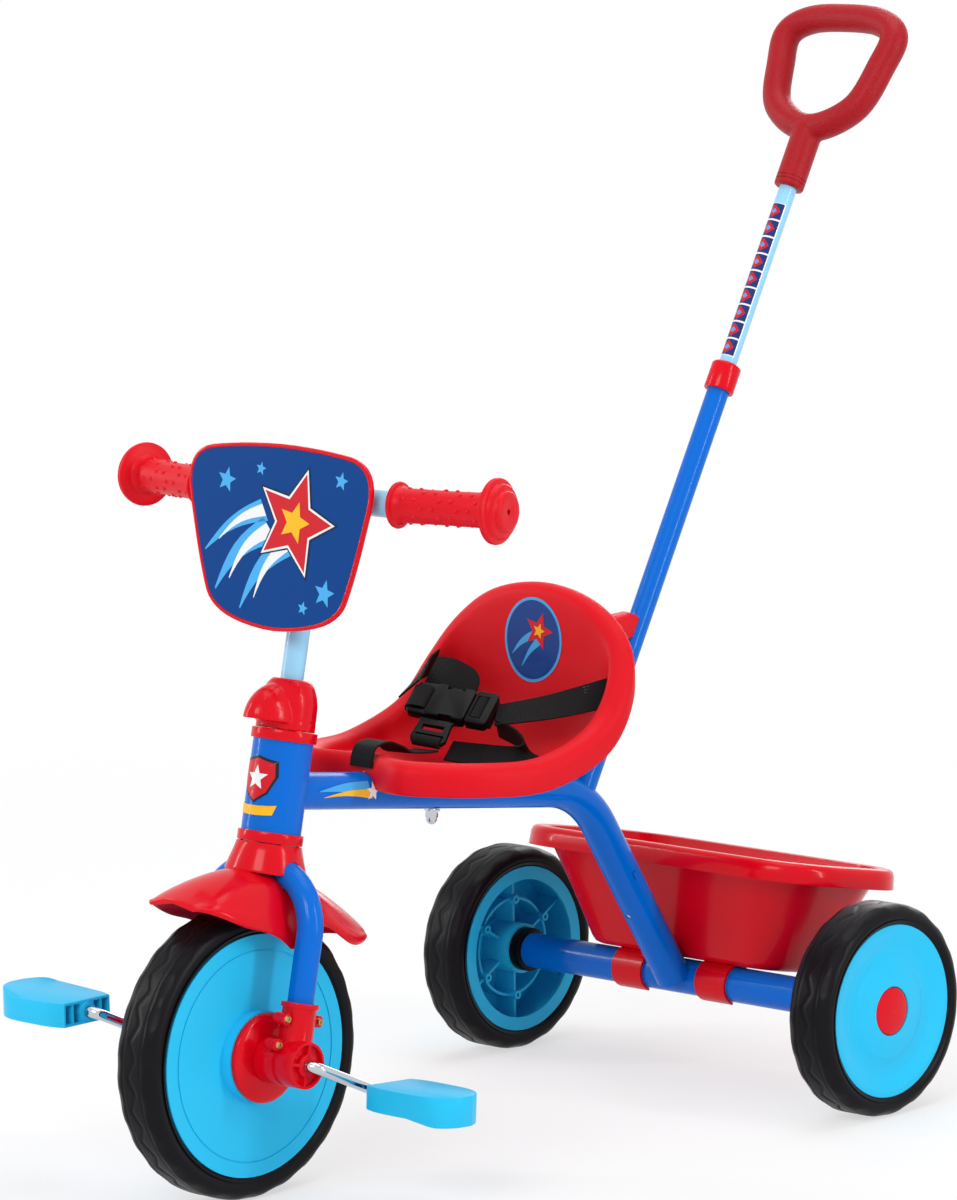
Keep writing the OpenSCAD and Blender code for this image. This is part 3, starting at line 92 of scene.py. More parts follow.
deselect_all()
bpy.ops.object.camera_add()
camera = bpy.context.object
camera.matrix_world = Matrix.Translation(CAMERA_AT) @ Matrix(turned_axes()).transposed().to_4x4()
camera.data.lens = 187.78
camera.data.sensor_width = 36
camera.data.shift_x = 0.01126
camera.data.shift_y = 0.1151
camera.data.clip_end = 200
scene = bpy.context.scene
scene.camera = camera
print("camera at", tuple(round(v, 3) for v in camera.location))

# %% [markdown]
# ## Floor and light
# A studio sweep is a pale floor that runs out of the picture. Large soft
# lamps give the long white streaks that painted tubes show, and an even
# world light keeps the colours as they are written. The floor looks white to
# the camera and still takes a soft shadow: with distance from the trike it
# goes over from a lit matte face to plain white. Three small helpers add a
# node with its sockets, a Math node and a fresh material.

# %% Node helpers


def add_node(tree, kind, sockets=None, **settings):
    """Adds a node; a socket takes a plain value or another node's output."""
    made = tree.nodes.new("ShaderNode" + kind)
    for key, value in settings.items():
        setattr(made, key, value)
    for key, value in (sockets or {}).items():
        if isinstance(value, bpy.types.NodeSocket):
            tree.links.new(value, made.inputs[key])
        else:
            made.inputs[key].default_value = value
    return made


def calc(tree, operation, *values):
    return add_node(tree, "Math", dict(enumerate(values)), operation=operation).outputs[0]


def new_material(name):
    material = bpy.data.materials.new(name)
    material.use_nodes = True
    material.node_tree.nodes.clear()
    return material, material.node_tree


def seen_directly(tree):
    """A mask that is 1 for what the camera, a mirror or clear plastic shows."""
    path = add_node(tree, "LightPath").outputs
    mirror = calc(tree, "MAXIMUM", path["Is Camera Ray"], path["Is Glossy Ray"])
    return calc(tree, "MAXIMUM", mirror, path["Is Transmission Ray"])


print("node helpers ready")

# %% Floor
scene.view_settings.view_transform = "Standard"
WHITE = (1, 1, 1, 1)
deselect_all()
bpy.ops.mesh.primitive_circle_add(vertices=64, radius=45, fill_type="NGON")
floor = bpy.context.object
floor.name = "studio_floor"
sweep, tree = new_material("studio_sweep")
matte = add_node(tree, "BsdfDiffuse", {"Color": (0.88, 0.88, 0.88, 1)})
glow = add_node(tree, "Emission", {"Color": WHITE})
spot = add_node(tree, "TexCoord").outputs["Object"]
far = add_node(tree, "VectorMath", {0: spot}, operation="LENGTH").outputs["Value"]
fade = add_node(tree, "MapRange", {"Value": far, "From Min": 0.5, "From Max": 2.2, "To Min": 0.6})
share = calc(tree, "MULTIPLY", seen_directly(tree), fade.outputs[0])
blend = add_node(tree, "MixShader", {0: share, 1: matte.outputs[0], 2: glow.outputs[0]})
add_node(tree, "OutputMaterial", {"Surface": blend.outputs[0]})
floor.data.materials.append(sweep)
print("floor has", len(tree.nodes), "nodes")

# %% World and lamps
world = bpy.data.worlds.new("studio_air")
scene.world = world
world.use_nodes = True
tree = world.node_tree
tree.nodes.clear()
even = add_node(tree, "Background", {"Color": (0.96, 0.98, 1.0, 1), "Strength": 0.5})
white = add_node(tree, "Background", {"Color": WHITE})
blend = add_node(tree, "MixShader", {0: seen_directly(tree), 1: even.outputs[0], 2: white.outputs[0]})
add_node(tree, "OutputWorld", {"Surface": blend.outputs[0]})

LAMPS = (
    ("key_softbox", (1.2, -3.2, 2.6), (1.6, 1.2), 50),
    ("left_strip", (-2.6, -1.8, 1.5), (0.25, 2.0), 28),
    ("right_strip", (3.0, 0.6, 1.4), (0.2, 2.0), 32),
    ("top_panel", (0.2, 0.4, 3.2), (2.4, 2.0), 34),
    ("back_strip", (-1.4, 2.8, 1.6), (1.0, 2.0), 22),
)
AIM = Vector((0, 0, 0.4))
for name, at, size, watts in LAMPS:
    deselect_all()
    bpy.ops.object.light_add(type="AREA", location=at)
    lamp = bpy.context.object
    lamp.name = name
    lamp.data.shape = "RECTANGLE"
    lamp.data.size, lamp.data.size_y = size
    lamp.data.energy = watts
    lamp.rotation_euler = (AIM - Vector(at)).to_track_quat("-Z", "Y").to_euler()
print("studio with", len(LAMPS), "lamps")

# %% [markdown]
# ## Shared finishes
# Moulded plastic, paint and rubber all have one thing in common: under a
# lens the colour, the gloss and the height wander a little. One node group
# gives that wander from Object coordinates, and each material sets how
# coarse and how deep it is.

# %% Node group: moulded grain


def group_with(name, inputs, outputs):
    """An empty group, with the sockets that it is given and a call that hands its results out."""
    group = bpy.data.node_groups.new(name, "ShaderNodeTree")
    for label, kind, value in inputs:
        group.interface.new_socket(label, in_out="INPUT", socket_type=kind).default_value = value
    for label, kind in outputs:
        group.interface.new_socket(label, in_out="OUTPUT", socket_type=kind)
    given = group.nodes.new("NodeGroupInput").outputs
    way_out = group.nodes.new("NodeGroupOutput")

    def hand_out(results):
        for label, value in results.items():
            group.links.new(value, way_out.inputs[label])
    return group, given, hand_out


COLOUR, NUMBER, ARROW = "NodeSocketColor", "NodeSocketFloat", "NodeSocketVector"
grain_group, given, hand_out = group_with(
    "moulded_grain",
    (("Base", COLOUR, (0.5, 0.5, 0.5, 1)), ("Tint", NUMBER, 0.06), ("Gloss", NUMBER, 0.3),
     ("Gloss wander", NUMBER, 0.08), ("Grain size", NUMBER, 600), ("Grain depth", NUMBER, 0.1)),
    (("Color", COLOUR), ("Roughness", NUMBER), ("Normal", ARROW)))
spot = add_node(grain_group, "TexCoord").outputs["Object"]
broad = add_node(grain_group, "TexNoise", {"Vector": spot, "Scale": 9, "Detail": 3})
fine = add_node(grain_group, "TexNoise", {"Vector": spot, "Scale": given["Grain size"], "Detail": 2})
centred = calc(grain_group, "SUBTRACT", broad.outputs[0], 0.5)
shift = calc(grain_group, "MULTIPLY_ADD", centred, given["Tint"], 1.0)
tinted = add_node(grain_group, "VectorMath", {0: given["Base"], "Scale": shift}, operation="SCALE")
gloss = calc(grain_group, "MULTIPLY_ADD", centred, given["Gloss wander"], given["Gloss"])
bump = add_node(grain_group, "Bump", {"Distance": 0.0006, "Strength": given["Grain depth"],
                                      "Height": fine.outputs[0]})
hand_out({"Color": tinted.outputs[0], "Roughness": gloss, "Normal": bump.outputs[0]})
print("grain group has", len(grain_group.nodes), "nodes")

# %% Plastic, paint, rubber and steel


def linear(red, green, blue):
    def one(v):
        v /= 255
        return v / 12.92 if v <= 0.04045 else ((v + 0.055) / 1.055) ** 2.4
    return (one(red), one(green), one(blue), 1)


def grained(name, colour, gloss, size, depth, tint=0.05, wander=0.08, coat=0.0, metal=0.0, shine=0.3,
            drawn=None):
    """A solid finish from the grain group; drawn may make a printed colour in its tree."""
    material, tree = new_material(name)
    grain = add_node(tree, "Group", {
        "Base": drawn(tree) if drawn else colour, "Tint": tint, "Gloss": gloss, "Gloss wander": wander,
        "Grain size": size, "Grain depth": depth}, node_tree=grain_group).outputs
    skin = add_node(tree, "BsdfPrincipled", {
        "Base Color": grain["Color"], "Roughness": grain["Roughness"], "Normal": grain["Normal"],
        "Metallic": metal, "Specular IOR Level": shine, "Coat Weight": coat, "Coat Roughness": 0.06})
    add_node(tree, "OutputMaterial", {"Surface": skin.outputs[0]})
    return material


RED = linear(216, 4, 26)
PALE_BLUE = linear(150, 208, 240)
gloss_red = grained("gloss_red_plastic", RED, 0.2, 180, 0.03, coat=0.08, shine=0.12)
seat_red = grained("satin_red_seat", linear(216, 10, 28), 0.46, 1500, 0.32, shine=0.14)
grip_red = grained("soft_red_grip", RED, 0.42, 1100, 0.14, shine=0.2)
handle_red = grained("pebbled_red_handle", linear(162, 12, 24), 0.4, 620, 0.85, tint=0.1, shine=0.2)
paint_blue = grained("blue_enamel", linear(0, 104, 206), 0.2, 140, 0.03, coat=0.1, shine=0.1)
paint_pale = grained("pale_blue_enamel", PALE_BLUE, 0.22, 140, 0.03, coat=0.2, shine=0.2)
sky_plastic = grained("sky_blue_plastic", linear(40, 192, 238), 0.34, 500, 0.05, shine=0.14)
tyre_black = grained("tyre_black", linear(20, 18, 21), 0.34, 420, 0.12, tint=0.2, shine=0.09)
black_plastic = grained("black_plastic", linear(12, 12, 13), 0.32, 800, 0.1, tint=0.15, shine=0.09)
chrome = grained("bright_chrome", linear(196, 200, 206), 0.07, 60, 0.01, metal=1.0, wander=0.04)
brass_zinc = grained("yellow_zinc", linear(186, 160, 104), 0.3, 300, 0.05, metal=1.0)
plate_red = grained("plate_red", RED, 0.26, 300, 0.03, coat=0.06, shine=0.14)
plate_blue = grained("plate_blue", linear(2, 64, 134), 0.3, 300, 0.03, coat=0.05, shine=0.08)
print("made", len(bpy.data.materials), "materials")

# %% [markdown]
# The solids that show as they are get their finish here. All others are
# remade further on and are dressed there.

# %% Finishes for the solids
FINISH = {
    paint_blue: ("head_tube", "main_tube", "rear_leg", "leg_snap_button", "axle_tube", "pole_socket",
                 "pole_lower", "fork"),
    paint_pale: ("stem", "handlebar"),
    gloss_red: ("plate_clips",),
    sky_plastic: ("front_wheel", "rear_left_wheel", "rear_right_wheel"),
    black_plastic: ("pole_guide",),
    chrome: ("rear_axle", "axle_push_nuts", "crank", "pedal_push_nuts", "seat_bolt", "seat_washer",
             "seat_nut", "leg_screw"),
    brass_zinc: ("fork_end_screws",),
    plate_blue: ("plate_face",),
}


def paint(piece, material):
    piece.data.materials.clear()
    piece.data.materials.append(material)


for finish, names in FINISH.items():
    for name in names:
        paint(nodes[name], finish)
print("finishes on", sum(len(names) for names in FINISH.values()), "of", len(nodes), "solids")

# %% [markdown]
# ## Modelling helpers
# Most mouldings here are one of two kinds: a ring that is extruded again and
# again while its shape changes, or a profile that is spun about an axle. Two
# small helpers do these with the ordinary edit mode tools, and a third sends
# a finished mesh to its place so that its object stays at the origin.

# %% Helpers: rings, spins and placing
Y_MID = 63.7793


def side_place(y, z):
    """A place of the side view, in metres: y along the trike, z up."""
    return Vector((0, (y - Y_MID) * MM, z * MM))


def shifted(x, y, z):
    return Matrix.Translation(Vector((x, y, z)) * MM)


def turned(degrees, axis):
    return Matrix.Rotation(radians(degrees), 4, axis)


def lay(verts, ring):
    for vert, point in zip(verts, ring):
        vert.co = Vector(point) * MM


def named(piece, name):
    piece.name = piece.data.name = name
    return piece


def pick(piece):
    deselect_all()
    piece.select_set(True)
    bpy.context.view_layer.objects.active = piece


def edit(piece):
    """Enters edit mode with all of a piece selected and gives the mesh to be edited."""
    pick(piece)
    bpy.ops.object.mode_set(mode="EDIT")
    bpy.ops.mesh.select_all(action="SELECT")
    return bmesh.from_edit_mesh(piece.data)


def start_ring(name, ring):
    """Adds a circle, lays it on a ring and stays in edit mode."""
    deselect_all()
    bpy.ops.mesh.primitive_circle_add(vertices=len(ring), radius=1)
    piece = named(bpy.context.object, name)
    mesh = edit(piece)
    lay(mesh.verts, ring)
    return piece, [tuple(v.co) for v in mesh.verts]


def close_skin():
    """Turns every face outwards and leaves edit mode."""
    bpy.ops.mesh.select_all(action="SELECT")
    bpy.ops.mesh.normals_make_consistent(inside=False)
    bpy.ops.object.mode_set(mode="OBJECT")


def extrude_rings(name, rings, caps=(True, True)):
    """Lays a circle on the first ring and extrudes it once for each later ring."""
    piece, before = start_ring(name, rings[0])
    start = set(before)
    for ring in rings[1:]:
        bpy.ops.mesh.extrude_region_move()
        mesh = bmesh.from_edit_mesh(piece.data)
        fresh = {tuple(v.co): v for v in mesh.verts if v.select}
        edge = [fresh[place] for place in before]
        lay(edge, ring)
        before = [tuple(v.co) for v in edge]
    if caps[1]:
        bpy.ops.mesh.edge_face_add()
    if caps[0]:
        mesh = bmesh.from_edit_mesh(piece.data)
        bpy.ops.mesh.select_all(action="DESELECT")
        for vert in mesh.verts:
            vert.select_set(tuple(vert.co) in start)
        mesh.select_flush_mode()
        bmesh.update_edit_mesh(piece.data)
        bpy.ops.mesh.edge_face_add()
    close_skin()
    return piece


def spin_profile(name, profile, steps):
    """Lays a closed profile of (along the axle, radius) points and spins it about local X."""
    piece, _ = start_ring(name, [(x, 0, r) for x, r in profile])
    bpy.ops.mesh.spin(steps=steps, angle=2 * pi, center=(0, 0, 0), axis=(1, 0, 0))
    bpy.ops.mesh.select_all(action="SELECT")
    bpy.ops.mesh.remove_doubles(threshold=1e-6)
    close_skin()
    return piece


def put(piece, place):
    """Moves a piece into its frame and leaves its object at the origin."""
    pick(piece)
    piece.matrix_world = place
    bpy.ops.object.transform_apply(location=True, rotation=True, scale=True)
    return piece


def modify(piece, kind, **settings):
    pick(piece)
    modifier = piece.modifiers.new(kind.lower(), kind)
    for key, value in settings.items():
        setattr(modifier, key, value)
    bpy.ops.object.modifier_apply(modifier=modifier.name)
    return piece


def subdivide(piece):
    return modify(piece, "SUBSURF", levels=1, render_levels=1)


def cut(piece, tool, operation="DIFFERENCE"):
    modify(piece, "BOOLEAN", object=tool, operation=operation, solver="EXACT")
    bpy.data.objects.remove(tool)
    return piece


def drum(name, radius, length, place):
    """A plain cylinder about local Z, used to cut or to join."""
    deselect_all()
    bpy.ops.mesh.primitive_cylinder_add(vertices=64, radius=radius * MM, depth=length * MM)
    return put(named(bpy.context.object, name), place)


def join(pieces):
    deselect_all()
    for piece in pieces:
        piece.select_set(True)
    bpy.context.view_layer.objects.active = pieces[0]
    bpy.ops.object.join()
    return pieces[0]


def melt(piece, voxel, rounds):
    """Melts joined solids into one skin and rounds the seams between them."""
    modify(piece, "REMESH", mode="VOXEL", voxel_size=voxel * MM, use_smooth_shade=True)
    return modify(piece, "SMOOTH", factor=0.5, iterations=rounds)


def dress(piece, material, body, slot, *replaced, angle=40):
    pick(piece)
    bpy.ops.object.shade_smooth_by_angle(angle=radians(angle))
    paint(piece, material)
    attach(piece, body)
    if replaced:
        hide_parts(*replaced)
    print(piece.name, len(piece.data.vertices), "points on", body)
    return piece


print("piece helpers ready")

# %% Helpers: curves and rings


def curve_point(p0, p1, p2, p3, t):
    return tuple(0.5 * (2 * b + (c - a) * t + (2 * a - 5 * b + 4 * c - d) * t * t
                        + (3 * b - a - 3 * c + d) * t ** 3) for a, b, c, d in zip(p0, p1, p2, p3))


def spans(padded, steps):
    return [curve_point(*padded[i:i + 4], k / steps) for i in range(len(padded) - 3) for k in range(steps)]


def closed_curve(points, steps):
    return spans([points[-1], *points, *points[:2]], steps)


def open_curve(points, steps):
    return spans([points[0], *points, points[-1]], steps) + [tuple(points[-1])]


def mirrored(points):
    return points + [(-p[0],) + tuple(p[1:]) for p in points[-2:0:-1]]


def both_sides(half):
    return half + [(x, -y) for x, y in reversed(half)]


def hoop(behind, at, ahead, radius, sides):
    """A ring of points square to a line of (x, z) places, where the line passes one of them."""
    tx, tz = ahead[0] - behind[0], ahead[1] - behind[1]
    size = hypot(tx, tz)
    return [(at[0] + tz / size * radius * cos(a), radius * sin(a), at[1] - tx / size * radius * cos(a))
            for a in (2 * pi * k / sides for k in range(sides))]


def ease(t):
    """Goes smoothly from 0 to 1 while t does."""
    t = min(max(t, 0), 1)
    return t * t * (3 - 2 * t)


print("curve helpers ready")

# %% Frames of the trike
HEAD_LEAN, POLE_LEAN, LEG_LEAN, MAIN_SLOPE = 13, 29.6, 32.3, 7.9
TUBE_R = 15.9
UPRIGHT = turned(-90, "Y")
steering_frame = Matrix.Translation(side_place(-278.508, 121.555)) @ turned(-HEAD_LEAN, "X")
FRONT_AXLE, REAR_AXLE = side_place(-282.6, 122.5), side_place(282.6, 94)
CORNER = side_place(147.226, 284.412)
pole_frame = Matrix.Translation(CORNER) @ turned(-POLE_LEAN, "X")


def steered(x, y, s):
    return steering_frame @ shifted(x, y, s)


print("axles", round((REAR_AXLE - FRONT_AXLE).length, 3), "m apart")

# %% [markdown]
# ## Tyres
# The tyres are moulded in one piece with rounded shoulders. Round the tread
# runs a zigzag groove, and each shoulder carries a row of shallow scallops.
# We spin the profile finely enough to press both patterns into the mesh, so
# they break the outline as real tread does.

# %% Tyres
SHOULDER_R, TREAD_DEPTH, RAIL_DEPTH = 11, 0.9, 0.5
REAR_TRACK = Vector((220.25 * MM, 0, 0))


def tyre_profile(outer, inner, width):
    half = width / 2
    mid = half - SHOULDER_R
    shoulder = [(-mid + SHOULDER_R * sin(a), outer - SHOULDER_R + SHOULDER_R * cos(a))
                for a in (pi / 24 * (k - 12) for k in range(13))]
    flat = [(x * mid / 8, outer) for x in range(-7, 8)]
    lip = [(half - 3, inner), (half - 1.2, inner + 1.2), (half, inner + 4), (half - 5, inner),
           (half - 5, outer - 8), (-half + 5, outer - 8), (-half + 5, inner), (-half + 3, inner),
           (-half + 1.2, inner + 1.2), (-half, inner + 4)]
    return shoulder + flat + [(-x, r) for x, r in reversed(shoulder)] + lip


def press_tread(piece, outer, width, lugs):
    mesh = edit(piece)
    for vert in mesh.verts:
        radius = hypot(vert.co.y, vert.co.z) / MM
        if radius < outer - 10:
            continue
        lug = atan2(vert.co.y, vert.co.z) / (2 * pi) * lugs
        x = vert.co.x / MM / (width / 2)
        zig = abs(lug % 1 - 0.5) * 2
        depth = TREAD_DEPTH * exp(-((x - (zig - 0.5) * 0.34) / 0.055) ** 2)
        for side, start in ((-1, 0.75), (1, 0.25)):
            step = (lug + start) % 1 - 0.5
            scallop = (step / 0.36) ** 2 + ((abs(x) - 0.74) / 0.2) ** 2
            if x * side > 0 and scallop < 1:
                depth += TREAD_DEPTH * (1 - scallop) ** 0.6
            depth += RAIL_DEPTH * exp(-((x * side - 0.46) / 0.03) ** 2)
        vert.co.y *= 1 - depth / radius
        vert.co.z *= 1 - depth / radius
    bmesh.update_edit_mesh(piece.data)
    bpy.ops.object.mode_set(mode="OBJECT")


TYRES = (
    ("front_tyre", "front_wheel_set", FRONT_AXLE, 122.5, 102.7, 45.5, 26),
    ("rear_left_tyre", "left_rear_wheel", REAR_AXLE + REAR_TRACK, 94, 76.4, 46, 20),
    ("rear_right_tyre", "right_rear_wheel", REAR_AXLE - REAR_TRACK, 94, 76.4, 46, 20),
)
for node, body, centre, outer, inner, width, lugs in TYRES:
    tyre = spin_profile(node + "_tread", tyre_profile(outer, inner, width), lugs * 12)
    press_tread(tyre, outer, width, lugs)
    put(tyre, Matrix.Translation(centre))
    dress(tyre, tyre_black, body, "tyre_black", node, angle=50)

# %% [markdown]
# ## Loop handle
# The push handle is a D shaped loop that melts into a short neck. A torus is
# pulled onto the loop's centre line, a drum makes the neck, and the two are
# melted into one skin with a voxel remesh. A drum then opens the bore for
# the pole and two fine rings mark the neck.

# %% Loop handle
HANDLE_LOW, HANDLE_TOP, LOOP_R, LOOP_HALF, LOOP_SIDES = 584, 767, 13, 64, 20
NECK_R, BORE_R = 13.75, 8.15
LOOP_LOW, LOOP_HIGH = HANDLE_LOW + 47, HANDLE_TOP - LOOP_R
loop_line = closed_curve(mirrored([
    (0, LOOP_HIGH), (0.62 * LOOP_HALF, LOOP_HIGH - 3), (0.97 * LOOP_HALF, LOOP_HIGH - 17),
    (0.93 * LOOP_HALF, LOOP_HIGH - 45), (0.70 * LOOP_HALF, LOOP_LOW + 34), (0, LOOP_LOW + LOOP_R)]), 8)
count = len(loop_line)
deselect_all()
bpy.ops.mesh.primitive_torus_add(major_segments=count, minor_segments=LOOP_SIDES,
                                 major_radius=0.06, minor_radius=0.013)
loop = named(bpy.context.object, "loop_handle_grip")
mesh = edit(loop)
lay(mesh.verts, [point for i, at in enumerate(loop_line) for point in
                 hoop(loop_line[i - 1], at, loop_line[(i + 1) % count], LOOP_R, LOOP_SIDES)])
bmesh.update_edit_mesh(loop.data)
close_skin()
neck = drum("neck", NECK_R, 60, shifted(0, 0, HANDLE_LOW + 30))
handle = melt(join([loop, neck]), 1.5, 5)
cut(handle, drum("bore", BORE_R, 42, shifted(0, 0, HANDLE_LOW + 20)))
for s in (5, 8.5):
    groove = spin_profile("groove", [(s, 13.2), (s + 0.9, 13.2), (s + 0.9, 16), (s, 16)], 64)
    cut(handle, put(groove, shifted(0, 0, HANDLE_LOW) @ UPRIGHT))
put(handle, pole_frame)
dress(handle, handle_red, "push_handle", "red_gloss", "loop_handle", angle=50)

# %% [markdown]
# ## Seat
# The bucket seat is one moulding: a flat pan, walls that rise into a
# backrest, and a fat rolled rim with two lobes at the front where the lower
# strap passes. Rings are extruded from under the pan out to the skirt, over
# the roll and back down to the pan, so both faces are one closed skin, and a
# subdivision makes the roll round. Room for the main tube is cut last.

# %% Seat
SEAT_Y, SEAT_Z = -39.67, 310.35
SEAT_HALF, SEAT_FRONT, SEAT_BACK_Y, SEAT_BACK_H, SEAT_SIDE_H, SEAT_NOTCH = 104, 81, 130, 150, 9, 21
SEAT_WALL, ROLL_R, SKIRT = 4, 12, 17
SEAT_MID = SEAT_Y + 26
SEAT_SLOPE = radians(MAIN_SLOPE)


def pan_z(y):
    """Height of the pan's upper face at a place along the trike."""
    return SEAT_Z - (y - SEAT_Y) * tan(SEAT_SLOPE) + TUBE_R / cos(SEAT_SLOPE) + 0.3 + SEAT_WALL


seat_edge = closed_curve(mirrored([
    (0, SEAT_BACK_Y, SEAT_BACK_H),
    (0.50 * SEAT_HALF, SEAT_BACK_Y - 1, 0.93 * SEAT_BACK_H),
    (0.85 * SEAT_HALF, SEAT_BACK_Y - 6, 0.74 * SEAT_BACK_H),
    (0.99 * SEAT_HALF, SEAT_BACK_Y - 24, 0.50 * SEAT_BACK_H),
    (SEAT_HALF, SEAT_BACK_Y - 56, 0.24 * SEAT_BACK_H),
    (0.97 * SEAT_HALF, 16, SEAT_SIDE_H),
    (0.86 * SEAT_HALF, -0.44 * SEAT_FRONT, 0.35 * SEAT_SIDE_H),
    (0.60 * SEAT_HALF, -0.91 * SEAT_FRONT, 0.15 * SEAT_SIDE_H),
    (0.38 * SEAT_HALF, -SEAT_FRONT, 0.15 * SEAT_SIDE_H),
    (0, -SEAT_FRONT + SEAT_NOTCH, 0.15 * SEAT_SIDE_H)]), 4)


def seat_section(inset):
    bowl = []
    for k in range(1, 11):
        a = radians(9 * k)
        out, up = sin(a) ** (2 / 3), 1 - max(cos(a), 0) ** (2 / 3)
        bowl.append((inset * up, out, up, -inset * (1 - up)))
    roll = [(ROLL_R + (ROLL_R - inset) * cos(a), 1, 1, (ROLL_R - inset) * sin(a))
            for a in (radians(180 - 180 * k / 7) for k in range(1, 8))]
    return bowl + roll + [(2 * ROLL_R - inset, 1, 1, -SKIRT * share) for share in (0.6, 1)]


def seat_point(edge, section):
    shift, out, up, lift = section
    x, y = edge[0], SEAT_Y + edge[1] - SEAT_MID
    size = hypot(x, y)
    at_y = SEAT_MID + out * y
    return (out * x + shift * x / size, at_y + shift * y / size - Y_MID, pan_z(at_y) + up * edge[2] + lift)


sections = seat_section(SEAT_WALL) + seat_section(0.2)[::-1]
seat = extrude_rings("seat_bucket", [[seat_point(e, s) for e in seat_edge] for s in sections])
subdivide(seat)
main_line = Matrix.Translation(side_place(SEAT_Y, SEAT_Z)) @ turned(-90 - MAIN_SLOPE, "X")
cut(seat, drum("tube_room", TUBE_R + 0.3, 420, main_line))
dress(seat, seat_red, "frame", "seat_red", "seat_shell", angle=50)

# %% [markdown]
# ## Load tub
# The tub is a thin walled basin with a turned down rim and a channel that
# clears the rear leg. A solid with the outer form is extruded ring by ring,
# then a second solid with the inner form is taken out of it. The channel's
# drum is cut from both, wider from the inner one, so the wall follows the
# leg. Each plan measure is given at the floor and at the rim.

# %% Tub
tub_frame = Matrix.Translation(REAR_AXLE) @ shifted(-6, 0, 0) @ turned(-11, "X")
TUB_FLOOR, TUB_TOP, TUB_WALL, TUB_LIP = 16.9, 117.9, 3, 13
TUB_PLAN = ((226, 352 - 2 * TUB_LIP), (92, 178 - 2 * TUB_LIP), (-14, -54), (34, 52))


def tub_ring(share, out, z, steps=10):
    """The tub's outline at a share of its height, moved out: length, depth, front edge and corner."""
    length, depth, front, r = (low + (high - low) * share for low, high in TUB_PLAN)
    length, depth, front, r = length + 2 * out, depth + 2 * out, front - out, r + out
    ring = []
    for qx, qy, start in ((1, 1, 0), (-1, 1, 90), (-1, -1, 180), (1, -1, 270)):
        for k in range(steps + 1):
            a = radians(start + 90 * k / steps)
            ring.append((qx * (length / 2 - r) + r * cos(a),
                         front + depth / 2 + qy * (depth / 2 - r) + r * sin(a), z))
    return ring


def basin(name, rows):
    return put(extrude_rings(name, [tub_ring(*row) for row in rows]), tub_frame)


leg_dir = Vector((0, sin(radians(LEG_LEAN)), -cos(radians(LEG_LEAN))))
leg_line = Matrix.Translation(CORNER + leg_dir * 0.1) @ turned(LEG_LEAN - 180, "X")
under_rim, in_floor = TUB_TOP - TUB_WALL, TUB_FLOOR + TUB_WALL
tub = basin("load_tub", (
    (0, -12, TUB_FLOOR), (0, -5, TUB_FLOOR + 0.3), (0.02, -1.6, TUB_FLOOR + 2), (0.06, 0, TUB_FLOOR + 6.5),
    (0.5, 0, (TUB_FLOOR + TUB_TOP) / 2), (0.97, 0, under_rim - 4), (1, 1.5, under_rim - 1),
    (1, TUB_LIP - 5.5, under_rim - 1), (1, TUB_LIP - 3.5, under_rim - 3), (1, TUB_LIP - 2.2, TUB_TOP - 18),
    (1, TUB_LIP + 0.6, TUB_TOP - 18), (1, TUB_LIP + 1, TUB_TOP - 17), (1, TUB_LIP + 0.2, TUB_TOP - 6),
    (1, TUB_LIP - 1, TUB_TOP - 2.4), (1, TUB_LIP - 3.4, TUB_TOP - 0.5), (1, TUB_LIP - 6, TUB_TOP),
    (1, 0, TUB_TOP), (1, -2, TUB_TOP - 0.7)))
hollow = basin("hollow", (
    (0, -TUB_WALL - 7, in_floor), (0.02, -TUB_WALL - 2, in_floor + 1.6), (0.06, -TUB_WALL, in_floor + 6),
    (1, -TUB_WALL, TUB_TOP - 3), (1, -TUB_WALL + 1.2, TUB_TOP + 4)))
cut(hollow, drum("wall_room", TUBE_R + 4, 600, leg_line))
cut(tub, hollow)
cut(tub, drum("leg_room", TUBE_R + 1, 600, leg_line))
CLIP_IN, CLIP_OUT, CLIP_ARC = 16.3, 18.8, range(0, 261, 13)
clip_line = [(CLIP_OUT, radians(a)) for a in CLIP_ARC] + [(CLIP_IN, radians(a)) for a in reversed(CLIP_ARC)]
clips = [put(extrude_rings("clip", [[(x + s, r * cos(a), r * sin(a)) for r, a in clip_line]
                                    for s in (-17.5, -16.5, 16.5, 17.5)]), tub_frame) for x in (-50, 50)]
join([tub] + clips)
dress(tub, gloss_red, "frame", "red_gloss", "tub", angle=42)

# %% [markdown]
# ## Mudguard
# The mudguard is a saddle whose edge turns out into a small rolled lip. Each
# cross section is an arch; the arches are extruded from tail to tip, with the
# lip as the last points of each arch, and a collar closes round the head.
# Room for the two fork legs is cut out along their bend.

# %% Mudguard
GUARD_REACH, GUARD_TAIL, GUARD_TOP, GUARD_SKIRT, GUARD_HALF, GUARD_WALL = 103, 117, 157, 89, 47, 2.4
FORK_HALF, FORK_BEND_LOW, FORK_BEND_R, FORK_BEND, FORK_ROOM = 61, 104.5, 52, radians(66), 11.7


